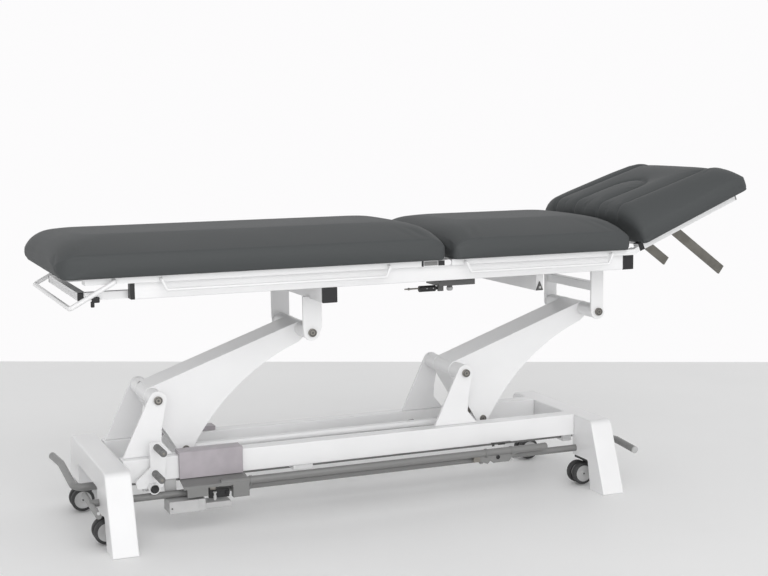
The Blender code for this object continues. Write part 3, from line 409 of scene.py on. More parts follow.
def tint(colour, factor):
    """A colour made lighter or darker."""
    return tuple(min(1.0, channel * factor) for channel in colour)


def paint_finish(name, colour, roughness, peel=0.25):
    """Sprayed paint: fine orange peel, faint cloudiness and slightly duller patches."""

    def build(at):
        cloud = at.noise(6.0, 3.0)
        fine = at.noise(900.0, 2.0)
        return {
            "Base Color": cloud.ramp(0.3, 0.75).mix(tint(colour, 0.975), tint(colour, 1.01)),
            "Roughness": roughness + 0.10 * (at.noise(35.0, 4.0) - 0.5) + 0.05 * fine,
            "Height": (peel, 0.0002, fine),
        }

    return finish(name, build, Coat_Weight=0.25, Coat_Roughness=0.12, Specular_IOR_Level=0.5)


def leather_finish(name, colour):
    """Coated upholstery cloth: pebbled grain with painted shade in its hollows, soft sheen and slow shade
    changes.
    """

    def build(at):
        cells = {"Vector": at, "Scale": 900.0, "Smoothness": 0.6}
        grain = at.node("ShaderNodeTexVoronoi", {"feature": "SMOOTH_F1"}, cells)
        pores = at.noise(2600.0, 2.0)
        slow = at.noise(7.0, 3.0)
        height = grain * 0.8 + pores * 0.35
        # Painted shade: the colour darkens in the grain's hollows, and changes slowly at random on top of
        # that.
        grain_shade_and_tone = (slow * 0.5 + grain * 0.9).ramp(0.15, 0.95)
        return {
            "Base Color": grain_shade_and_tone.mix(tint(colour, 0.93), tint(colour, 1.08)),
            "Roughness": 0.58 + 0.10 * slow + 0.10 * pores,
            "Height": (0.28, 0.0004, height),
        }

    return finish(name, build, Specular_IOR_Level=0.55)


def plastic_finish(name, colour, roughness, texture=1400.0):
    """Moulded plastic: spark textured, with faint flow marks."""

    def build(at):
        spark = at.noise(texture, 3.0, 0.65)
        flow = at.noise(22.0, 2.0)
        return {
            "Base Color": flow.ramp(0.3, 0.7).mix(tint(colour, 0.94), tint(colour, 1.07)),
            "Roughness": roughness + 0.14 * (spark - 0.5) + 0.05 * flow,
            "Height": (0.3, 0.0002, spark),
        }

    return finish(name, build, Specular_IOR_Level=0.45)


def steel_finish(name, colour, roughness):
    """Brushed steel: long fine scratches and slightly stained colour."""

    def build(at):
        stretched = at.node("ShaderNodeMapping", None, {"Vector": at, "Scale": (60.0, 900.0, 900.0)})
        scratch = stretched.noise(1.0, 4.0, 0.7)
        stain = at.noise(30.0, 3.0)
        return {
            "Base Color": stain.ramp(0.3, 0.75).mix(tint(colour, 0.85), tint(colour, 1.1)),
            "Roughness": roughness + 0.22 * (scratch - 0.5) + 0.06 * stain,
            "Height": (0.18, 0.0002, scratch),
        }

    return finish(name, build, Metallic=1.0)


def rubber_finish(name, colour):
    """Castor tread: matte, slightly dusty and scuffed."""

    def build(at):
        dust = at.noise(60.0, 4.0, 0.6)
        fine = at.noise(1800.0, 2.0)
        return {
            "Base Color": dust.ramp(0.45, 0.8).mix(colour, tint(colour, 1.8)),
            "Roughness": 0.62 + 0.2 * (dust - 0.5),
            "Height": (0.25, 0.0003, fine),
        }

    return finish(name, build, Specular_IOR_Level=0.35)


def finish_for(slot):
    """The material of a slot of the record, or of a shade of one."""
    colours = bpy.context.scene.table_colours
    makers = {
        "white_paint": (paint_finish, colours.paint, 0.30),
        "grey_paint": (paint_finish, colours.grey, 0.42, 0.4),
        "dark_paint": (paint_finish, tint(colours.grey, 0.4), 0.42, 0.4),
        "cover_leather": (leather_finish, colours.leather),
        "cover_plastic": (plastic_finish, colours.plum, 0.40),
        "light_plastic": (plastic_finish, colours.light, 0.45),
        "black_plastic": (plastic_finish, colours.black, 0.42),
        "steel": (steel_finish, colours.steel, 0.34),
        "lever_steel": (steel_finish, colours.lever, 0.38),
        "sleeve_rubber": (rubber_finish, tint(colours.grey, 0.8)),
        "tyre": (rubber_finish, colours.tyre),
    }
    make, colour, *amounts = makers[slot]
    return make(slot, tuple(colour), *amounts)


def linked(name, mesh):
    """A new object of the scene from a mesh."""
    obj = bpy.data.objects.new(name, mesh)
    bpy.context.scene.collection.objects.link(obj)
    return obj


def smooth(mesh, degrees=35.0):
    """Round shading, with edges sharper than an angle kept crisp."""
    mesh.shade_smooth()
    mesh.set_sharp_from_angle(angle=math.radians(degrees))


def dressed(obj, body, slot, *stands_for):
    """Give a piece its body, its finish and the solids it stands for."""
    obj.data.materials.clear()
    obj.data.materials.append(finish_for(slot))
    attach(obj, body)
    if stands_for:
        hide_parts(*stands_for)
    return obj


def sharp_edges(bm, wanted=None):
    """Edges where two faces meet at a clear angle, or those of them whose middle is wanted."""
    inner = [edge for edge in bm.edges if len(edge.link_faces) == 2]
    found = [edge for edge in inner if edge.calc_face_angle() > SHARP]
    if wanted:
        found = [edge for edge in found if wanted((edge.verts[0].co + edge.verts[1].co) / 2)]
    return found


def rounded(bm, edges, offset, segments, clamp=True):
    """Round some edges of a bmesh."""
    bmesh.ops.bevel(
        bm, geom=edges, offset=offset, segments=segments, profile=0.5, affect="EDGES", clamp_overlap=clamp
    )


def softened(node, round_by, segments=2, outline=None, slot=None):
    """A copy of a solid, coplanar faces joined and sharp edges rounded, the outline more widely."""
    bm = bmesh.new()
    bm.from_mesh(NODES[node].data)
    bmesh.ops.remove_doubles(bm, verts=bm.verts, dist=1e-5)
    bmesh.ops.dissolve_limit(bm, angle_limit=math.radians(1.0), verts=bm.verts, edges=bm.edges)
    if outline:
        wide, wanted = outline
        rounded(bm, sharp_edges(bm, wanted), wide, OUTLINE_SEGMENTS, False)
    rounded(bm, sharp_edges(bm), round_by, segments)
    mesh = bpy.data.meshes.new(node + "_soft")
    bm.to_mesh(mesh)
    bm.free()
    smooth(mesh)
    obj = linked(node + "_soft", mesh)
    evened(obj)
    return dressed(obj, BODY_OF[node], slot or SLOT_OF[node], node)


def keep_evaluated(obj):
    """Apply all of an object's modifiers."""
    graph = bpy.context.evaluated_depsgraph_get()
    mesh = bpy.data.meshes.new_from_object(obj.evaluated_get(graph))
    obj.modifiers.clear()
    obj.data = mesh


def evened(obj):
    """Let the large faces rule the shading, so that they look flat between rounded edges."""
    weighted = obj.modifiers.new("flat", "WEIGHTED_NORMAL")
    weighted.keep_sharp = True
    keep_evaluated(obj)


def from_bmesh(name, bm):
    """A new object of the scene from a bmesh, faces turned outwards."""
    bmesh.ops.remove_doubles(bm, verts=bm.verts, dist=1e-6)
    bmesh.ops.recalc_face_normals(bm, faces=bm.faces)
    mesh = bpy.data.meshes.new(name)
    bm.to_mesh(mesh)
    bm.free()
    smooth(mesh)
    obj = linked(name, mesh)
    evened(obj)
    return obj


def add_block(bm, low, high, round_by, segments=2):
    """A block with rounded edges, added to a bmesh."""
    made = bmesh.ops.create_cube(bm, size=1.0)
    low, high = Vector(low), Vector(high)
    for vert in made["verts"]:
        vert.co = Vector((low[i] + (high[i] - low[i]) * (vert.co[i] + 0.5) for i in range(3)))
    edges = list({edge for vert in made["verts"] for edge in vert.link_edges})
    rounded(bm, edges, round_by, segments, False)


def add_lathe(bm, profile, centre, axis, steps=40):
    """A turned shape: pairs of radius and distance along an axis through a centre, added to a bmesh."""
    axis = Vector(axis).normalized()
    across = axis.orthogonal().normalized()
    other = axis.cross(across)
    centre = Vector(centre)
    rings = []
    for radius, along in profile:
        if radius < 1e-6:
            rings.append([bm.verts.new(centre + axis * along)])
            continue
        ring = []
        for k in range(steps):
            angle = 2 * math.pi * k / steps
            spoke = (across * math.cos(angle) + other * math.sin(angle)) * radius
            ring.append(bm.verts.new(centre + axis * along + spoke))
        rings.append(ring)
    for one, two in zip(rings, rings[1:]):
        for k in range(steps):
            j = (k + 1) % steps
            corners = [one[k % len(one)], one[j % len(one)], two[j % len(two)], two[k % len(two)]]
            corners = list(dict.fromkeys(corners))
            if len(corners) > 2:
                bm.faces.new(corners)


def spread(one, two, proud):
    """The lowest and the highest corner of the block between two corners, grown all round."""
    low = Vector(min(a, b) - proud for a, b in zip(one, two))
    high = Vector(max(a, b) + proud for a, b in zip(one, two))
    return low, high


def row_x(x):
    """A place along the base, counted from its middle, in the record's frame."""
    return x + SHIFT


def placed(x, y, z):
    """A point counted from the middle of the base, in the record's frame."""
    return Vector((row_x(x), y, z))


def from_head(s, y, n):
    """A point along, across and above the head section, in the record's frame."""
    return Matrix.Rotation(-HEAD_TILT, 3, "Y") @ Vector((s, y, n)) + HEAD_AT


def rounding(inward, length, depth):
    """How far an elliptic end has fallen at a distance in from its tip."""
    short = 1.0 - min(max(inward, 0.0) / length, 1.0)
    return depth * (1.0 - math.sqrt(1.0 - short * short))


def seam_distance(s, y):
    """Distance to the nearest sewn channel of the head pad: two straight ones and a U round its middle."""
    y = abs(y)
    turn = HEAD_U_END - HEAD_U_HALF
    ring = abs(y - HEAD_U_HALF) if s < turn else abs(math.hypot(y, s - turn) - HEAD_U_HALF)
    return min(abs(y - HEAD_SEAM), ring)


def head_relief(s, y):
    """How far the head pad's top lies below its side bolsters: a lower middle, a wedge and the channels."""
    outer, blend = MIDDLE_EDGE
    middle = min(max((HEAD_SEAM + outer - abs(y)) / blend, 0.0), 1.0)
    near = seam_distance(s, y)
    sunk = sum(depth * math.exp(-((near / wide) ** 2)) for depth, wide in (SOFT_CHANNEL, STITCHED_CHANNEL))
    return HEAD_WEDGE * s + HEAD_MIDDLE * middle + sunk


def half_ring(node, x):
    """Half of a pad's section: from the middle of its base round its crease to the middle of its top."""
    form = PADS[node]
    count = form["across"]
    inward = (x - form["ends"][0], form["ends"][1] - x)
    drop = max(rounding(d, *nose) for d, nose in zip(inward, form["noses"]))
    low = form["base"] + max(rounding(d, *tuck) for d, tuck in zip(inward, form["tucks"]))
    width = form["half"] - max(rounding(d, plan, plan) for d, plan in zip(inward, form["plans"]))
    share = (form["crease"] - form["base"]) / (form["crown"] - form["base"])
    edge = low + (form["crown"] - drop - low) * share
    flat = count - SIDE_STEPS - len(HEM)
    ring = [((width - BASE_INSET) * k / flat, low) for k in range(flat + 1)]
    ring += [(width - inset, low + rise) for inset, rise in HEM]
    foot, hem = ring[-1]
    for k in range(1, SIDE_STEPS + 1):
        f = k / SIDE_STEPS
        ring.append((foot + SIDE_BOW * f * (1 - f) - SIDE_LEAN * f, hem + (edge - hem) * f))
    side, lip = ring[-1]
    for k in range(1, count + 2):
        f = 1.0 - k / (count + 1)
        y = side * f
        relief = head_relief(x, y) if node == "head_pad" else 0.0
        top = form["crown"] - drop - relief
        ring.append((y, lip + (top - lip) * (1 - f ** form["power"])))
    return ring


def pad_shell(node):
    """A closed mesh of a pad's form, and the points that its base and its seams hold."""
    form = PADS[node]
    start, end = form["ends"]
    steps = round((end - start) / form["cell"])
    places = [start + (end - start) * k / steps for k in range(steps + 1)]
    bends = [END_BEND * (k / END_STEPS) ** 2 for k in range(1, END_STEPS)]
    places += [start + bend for bend in bends] + [end - bend for bend in bends]
    crease = form["across"]
    base = crease - SIDE_STEPS - len(HEM)
    bm = bmesh.new()
    rings = []
    held = set()
    for x in sorted(places):
        half = half_ring(node, x)
        inward = min(x - start, end - x)
        loop = half + [(-y, z) for y, z in reversed(half[1:-1])]
        ring = []
        for k, (y, z) in enumerate(loop):
            vert = bm.verts.new(from_head(x, y, z) if node == "head_pad" else placed(x, y, z))
            ring.append(vert)
            up = min(k, len(loop) - k)
            piped = up == crease and inward > END_FREE
            channel = node == "head_pad" and up > crease and seam_distance(x, y) < SEAM_HELD
            if up <= base or piped or channel:
                held.add(vert)
        rings.append(ring)
    for one, two in zip(rings, rings[1:]):
        for k in range(len(one)):
            j = (k + 1) % len(one)
            bm.faces.new((one[k], one[j], two[j], two[k]))
    for ring in (rings[0], rings[-1]):
        last = len(ring) // 2
        for k in range(last // 2):
            right = (ring[k], ring[k + 1], ring[last - k - 1], ring[last - k])
            left = (ring[-k], ring[-k - 1], ring[last + k + 1], ring[(last + k) % len(ring)])
            for corners in (right, left):
                corners = list(dict.fromkeys(corners))
                if len(corners) > 2:
                    bm.faces.new(corners)
    bm.verts.index_update()
    held = sorted(vert.index for vert in held)
    bmesh.ops.recalc_face_normals(bm, faces=bm.faces)
    mesh = bpy.data.meshes.new(node + "_cover")
    bm.to_mesh(mesh)
    bm.free()
    return linked(node + "_cover", mesh), held


def blown(node, swell):
    """A pad's cover: its form drawn in, blown up as cloth with its base and seams held, and subdivided."""
    obj, held = pad_shell(node)
    normals = [vert.normal.copy() for vert in obj.data.vertices]
    tilt = HEAD_TILT if node == "head_pad" else 0.0
    down = Vector((math.sin(tilt), 0.0, -math.cos(tilt)))
    for vert, normal in zip(obj.data.vertices, normals):
        if normal.dot(down) < FACES_DOWN:
            vert.co -= normal * swell * DRAWN_IN
    start = [vert.co.copy() for vert in obj.data.vertices]
    group = obj.vertex_groups.new(name="held")
    group.add(held, 1.0, "REPLACE")
    cloth = obj.modifiers.new("cover", "CLOTH")
    for key, value in CLOTH.items():
        setattr(cloth.settings, key, value)
    cloth.settings.vertex_group_mass = "held"
    cloth.settings.effector_weights.gravity = 0
    cloth.collision_settings.use_collision = False
    scene = bpy.context.scene
    for step in range(1, CLOTH_FRAMES + 1):
        scene.frame_set(step)
    keep_evaluated(obj)
    scene.frame_set(1)
    for vert, begun in zip(obj.data.vertices, start):
        moved = vert.co - begun
        if moved.length > swell:
            vert.co = begun + moved * (swell / moved.length)
    obj.vertex_groups.clear()
    finer = obj.modifiers.new("finer", "SUBSURF")
    finer.levels = 1
    finer.render_levels = 1
    keep_evaluated(obj)
    obj.data.shade_smooth()
    return obj


class TABLE_OT_stage(bpy.types.Operator):
    """Floor, light and the camera at the photograph's angle"""

    bl_idname = "table.stage"
    bl_label = "Studio"

    def execute(self, context):
        context.scene.view_settings.view_transform = "Standard"
        self.camera(context.scene)
        self.floor(context)
        self.lights(context)
        return {"FINISHED"}

    def camera(self, scene):
        """The camera at the photograph's angle."""
        level = math.cos(PITCH)
        ahead = Vector((math.sin(YAW) * level, math.cos(YAW) * level, -math.sin(PITCH)))
        right = Vector((math.cos(YAW), -math.sin(YAW), 0))
        up = right.cross(ahead)
        turned_right = right * math.cos(ROLL) + up * math.sin(ROLL)
        turned_up = up * math.cos(ROLL) - right * math.sin(ROLL)
        lens = bpy.data.cameras.new("camera")
        lens.lens = scene.table_sizes.lens
        lens.sensor_width = SENSOR
        camera = bpy.data.objects.new("camera", lens)
        scene.collection.objects.link(camera)
        rows = Matrix((turned_right, turned_up, -ahead)).transposed().to_4x4()
        camera.matrix_world = Matrix.Translation(placed(*SEAT)) @ rows
        scene.camera = camera

    def floor(self, context):
        """A wide floor that turns white beyond the line where the studio wall stands."""
        bm = bmesh.new()
        bmesh.ops.create_grid(bm, x_segments=2, y_segments=2, size=FLOOR_HALF)
        plane = from_bmesh("floor", bm)
        plane.location.z = -FLOOR_DROP
        colour = tuple(context.scene.table_colours.floor)
        made = bpy.data.materials.new("studio_floor")
        made.use_nodes = True
        tree = made.node_tree
        shader = tree.nodes["Principled BSDF"]
        place = tree.nodes.new("ShaderNodeTexCoord")
        at = Field(tree, place.outputs["Object"])
        depth = at.part("X") * math.sin(WALL_TURN) + at.part("Y") * math.cos(WALL_TURN)
        beyond = depth > WALL_DEPTH + SHIFT * math.sin(WALL_TURN)
        cloud = at.noise(1.5, 3.0)
        shade = cloud.ramp(0.2, 0.8).mix(tint(colour, 0.985), tint(colour, 1.015))
        tree.links.new(shade.socket, shader.inputs["Base Color"])
        shader.inputs["Roughness"].default_value = 0.55
        shader.inputs["Specular IOR Level"].default_value = 0.25
        ground = Field(tree, shader.outputs[0])
        white = at.node("ShaderNodeEmission", None, {"Color": WALL_COLOUR})
        factor = beyond * seen_by(tree, "Camera", "Glossy")
        mixed = at.node("ShaderNodeMixShader", None, {0: factor, 1: ground, 2: white})
        tree.links.new(mixed.socket, tree.nodes["Material Output"].inputs["Surface"])
        plane.data.materials.append(made)

    def lights(self, context):
        """A white room, brighter round its walls than at its ceiling, and a large low lamp in front."""
        world = bpy.data.worlds.new("studio")
        context.scene.world = world
        world.use_nodes = True
        tree = world.node_tree
        tree.nodes.remove(tree.nodes["Background"])
        sky = Field(tree, tree.nodes.new("ShaderNodeTexCoord").outputs["Generated"])
        walls, ceiling, back = (
            sky.node("ShaderNodeBackground", None, {"Color": colour, "Strength": strength})
            for colour, strength in ((WHITE, WALL_LIGHT), (WHITE, CEILING_LIGHT), (WALL_COLOUR, 1.0))
        )
        height = sky.part("Z").ramp(0.0, 1.0)
        room = sky.node("ShaderNodeMixShader", None, {0: height, 1: walls, 2: ceiling})
        factor = seen_by(tree, "Camera", "Glossy", "Transmission")
        mixed = sky.node("ShaderNodeMixShader", None, {0: factor, 1: room, 2: back})
        tree.links.new(mixed.socket, tree.nodes["World Output"].inputs["Surface"])
        lamp = bpy.data.lights.new("front_lamp", "AREA")
        lamp.energy = LAMP_POWER
        lamp.size = LAMP_SIZE
        obj = bpy.data.objects.new("front_lamp", lamp)
        context.scene.collection.objects.link(obj)
        obj.location = LAMP_PLACE
        aim = Vector(LAMP_AIM) - Vector(LAMP_PLACE)
        obj.rotation_euler = aim.to_track_quat("-Z", "Y").to_euler()


class TABLE_OT_metalwork(bpy.types.Operator):
    """Castings, rails, arms, frames and plates with rounded edges"""

    bl_idname = "table.metalwork"
    bl_label = "Metalwork"

    def execute(self, context):
        sizes = context.scene.table_sizes
        tubes = ("base_rail_", "top_rail_", "hanger_", "foot_stretcher")
        plates = ("tower_", "lift_arm_", "leg_frame", "mid_frame", "head_frame", "cover_bracket")
        plates += ("actuator_anchor", "control_cover_", "control_box")
        for node in NODES:
            if node.endswith("_pad") or node.startswith("castor_wheels"):
                continue
            if node.startswith("portal_"):
                softened(node, sizes.plate_round, 2, (sizes.casting_round, self.outside))
            elif node == "head_levers":
                softened(node, sizes.plate_round, 2, None, "lever_steel")
            elif node.startswith(tubes):
                softened(node, sizes.edge_round, 3)
            elif node.startswith(plates):
                softened(node, sizes.plate_round, 2)
            else:
                softened(node, sizes.plate_round * SMALL_SHARE, 1)
        return {"FINISHED"}

    def outside(self, middle):
        """Whether an edge lies on the outside of an end leg, above the floor."""
        inside = min(LEG_HALF - LEG_LEAN * middle.z, LEG_LIMIT) - LEG_BAND
        beside = middle.z > LEG_FOOT and abs(middle.y) > inside
        return beside or middle.z > LEG_TOP


class TABLE_OT_pads(bpy.types.Operator):
    """The three sewn pads, blown up as cloth between their seams"""

    bl_idname = "table.pads"
    bl_label = "Pads"

    def execute(self, context):
        for node in PADS:
            cover = blown(node, context.scene.table_sizes.pad_swell)
            dressed(cover, BODY_OF[node], "cover_leather", node)
        return {"FINISHED"}


class TABLE_OT_castors(bpy.types.Operator):
    """Twin castor wheels: rounded treads on dished hubs"""

    bl_idname = "table.castors"
    bl_label = "Castors"

    def execute(self, context):
        for label in ("foot_near", "foot_far", "head_near", "head_far"):
            node = "castor_wheels_" + label
            low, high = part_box(node)
            centre = (Vector(low) + Vector(high)) / 2
            radius = (high[2] - low[2]) / 2
            half = (high[1] - low[1]) / 2
            inner = WHEEL_GAP_HALF
            treads = bmesh.new()
            hubs = bmesh.new()
            dots = bmesh.new()
            for way in (-1, 1):
                axis = (0, way, 0)
                tread = [(radius * 0.74, inner + 0.0003), (radius * 0.90, inner)]
                tread += [(radius * 0.97, inner + 0.0013), (radius, inner + 0.0043)]
                tread += [(radius, half - 0.0045), (radius * 0.965, half - 0.0018)]
                tread += [(radius * 0.88, half - 0.0003), (radius * 0.76, half)]
                tread += [(radius * 0.73, half - 0.001), tread[0]]
                add_lathe(treads, tread, centre, axis)
                hub = [(0.0, inner + 0.0008), (radius * 0.735, inner + 0.0008)]
                hub += [(radius * 0.735, half - 0.0006), (radius * 0.69, half - 0.0002)]
                hub += [(radius * 0.62, half - 0.0018), (radius * 0.24, half - 0.0030)]
                hub += [(radius * 0.22, half - 0.0010), (radius * 0.10, half - 0.0004)]
                add_lathe(hubs, [*hub, (0.0, half - 0.0003)], centre, axis)
                dot = [(0.0, half - 0.0008), (0.0030, half - 0.0008), (0.0028, half - 0.0001)]
                add_lathe(dots, [*dot, (0.0, half)], centre, axis, 16)
            reach = inner + AXLE_IN_HUB
            axle = [(0.0, -reach), (AXLE_RADIUS, -reach), (AXLE_RADIUS, reach), (0.0, reach)]
            add_lathe(hubs, axle, centre, (0, 1, 0), 16)
            dressed(from_bmesh("castor_treads_" + label, treads), BODY_OF[node], "tyre", node)
            dressed(from_bmesh("castor_hubs_" + label, hubs), BODY_OF[node], "light_plastic")
            dressed(from_bmesh("castor_dots_" + label, dots), BODY_OF[node], "dark_paint")
        return {"FINISHED"}


class TABLE_OT_caps(bpy.types.Operator):
    """Black plugs and clips on the ends of the frame's tubes"""

    bl_idname = "table.caps"
    bl_label = "End caps"

    def execute(self, context):
        lip = context.scene.table_sizes.cap_lip
        for side, way in SIDES:
            rail = "top_rail_" + side
            self.sleeve(rail, -1, RAIL_CAP_FOOT, RAIL_CAP_FOOT_LIP, "rail_cap_foot_" + side)
            self.sleeve(rail, 1, RAIL_CAP_HEAD, lip, "rail_cap_head_" + side)
            x, (_, y, z) = row_x(HANGER_CAP_X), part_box("hanger_foot")[1]
            inner = (x, way * HANGER_CAP_INNER, z - HANGER_CAP_SIZE)
            outer = (x + HANGER_CAP_SIZE, way * (y + lip), z)
            self.cap("hanger_cap_" + side, "top_frame", inner, outer)
            (x, _, bottom), (_, y, top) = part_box("foot_stretcher")
            inner = (x, way * STRETCHER_CAP_INNER, bottom)
            outer = (x + STRETCHER_CAP_SIZE, way * (y + STRETCHER_CAP_LIP), top)
            self.cap("stretcher_cap_" + side, "top_frame", inner, outer)
            self.hinge(side, way)
            self.head_ends(side, way)
        self.hook()
        return {"FINISHED"}

    def sleeve(self, node, way, depth, lip, name):
        """A plug over one end of a tube that lies along the table."""
        low, high = (list(corner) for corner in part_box(node))
        if way > 0:
            low[0], high[0] = high[0] - depth, high[0] + lip
        else:
            low[0], high[0] = low[0] - lip, low[0] + depth
        self.cap(name, BODY_OF[node], low, high)

    def cap(self, name, body, low, high, slot="black_plastic"):
        """A rounded block that stands a little proud of the space between two corners."""
        bm = bmesh.new()
        add_block(bm, *spread(low, high, CAP_PROUD), CAP_ROUND, 3)
        return dressed(from_bmesh(name, bm), body, slot)

    def hinge(self, side, way):
        """Black cap, grey leaf and black knuckle where the leg frame meets the middle hinge."""
        low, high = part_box("leg_frame")
        for name, (start, end, slot, inset) in HINGE.items():
            inner = (row_x(start), way * HINGE_INNER, low[2] + inset)
            outer = (row_x(end), way * (high[1] - inset * HINGE_SIDE_SHARE), high[2] - inset)
            self.cap(name + side, "top_frame", inner, outer, slot)

    def head_ends(self, side, way):
        """A black cap at the hinge and a grey one at the free end of the head frame's bar."""
        (inner, bottom), (outer, top) = HEAD_BAR
        for name, (start, end, slot) in HEAD_ENDS.items():
            bm = bmesh.new()
            low, high = spread((start, way * inner, bottom), (end, way * outer, top), HEAD_BAR_PROUD)
            add_block(bm, low, high, HEAD_BAR_ROUND, 3)
            for vert in bm.verts:
                vert.co = from_head(*vert.co)
            dressed(from_bmesh(name + side, bm), "head_section", slot)

    def hook(self):
        """Clamp on the near end of the foot stretcher, with a hook below it."""
        bm = bmesh.new()
        x, (_, y, z) = row_x(HOOK_X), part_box("foot_stretcher")[0]
        add_block(bm, (x, y - 0.0085, z - 0.0060), (x + 0.019, y + 0.0010, z + 0.0085), 0.0025, 3)
        add_block(bm, (x - 0.003, y - 0.0080, z - 0.0170), (x + 0.006, y - 0.0005, z - 0.0020), 0.0020, 3)
        dressed(from_bmesh("stretcher_hook", bm), "top_frame", "black_plastic")


class TABLE_OT_bolts(bpy.types.Operator):
    """Bolt heads on the pivots of the lift arms, each with a dark ring and a dark disc of painted shade for
    its socket
    """

    bl_idname = "table.bolts"
    bl_label = "Bolts"

    def execute(self, context):
        for node in ("pin_foot_lower", "pin_head_lower", "pin_foot_upper", "pin_head_upper"):
            low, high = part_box(node)
            place = ((low[0] + high[0]) / 2, high[1], (low[2] + high[2]) / 2)
            self.pair(node.replace("pin", "bolt"), BODY_OF[node], place, PIN_BOLT)
        for label, joint in (("foot", "tie_level"), ("head", "screw_tilt")):
            x, _, z = JOINTS[joint]["pos_m"]
            self.pair("lobe_bolt_" + label, "arm_" + label, (x, LOBE_HALF, z), LOBE_BOLT)
        return {"FINISHED"}

    def pair(self, name, body, place, radius):
        """The same bolt on the near and the far side."""
        for side, way in SIDES:
            centre = (place[0], way * place[1], place[2])
            axis = (0, way, 0)
            bm = bmesh.new()
            cup = [(0.0, -0.003), (radius, -0.003), (radius, 0.0006), (radius * 0.94, 0.0016)]
            cup += [(radius * 0.62, 0.0022), (radius * 0.56, 0.0014), (0.0, 0.0012)]
            add_lathe(bm, cup, centre, axis)
            dressed(from_bmesh(name + "_" + side, bm), body, "steel")
            # A dark ring round the head, and a small dark hex disc where a socket would be: painted shade
            # standing in for the socket's hollow.
            bm = bmesh.new()
            ring = [(radius * 0.86, 0.0012), (radius * 0.86, 0.0023)]
            ring += [(radius * 0.66, 0.0027), (radius * 0.64, 0.0012)]
            add_lathe(bm, [*ring, ring[0]], centre, axis)
            socket = [(0.0, 0.0010), (radius * 0.30, 0.0010), (radius * 0.30, 0.0016), (0.0, 0.0017)]
            add_lathe(bm, socket, centre, axis, 6)
            dressed(from_bmesh(name + "_socket_" + side, bm), body, "dark_paint")


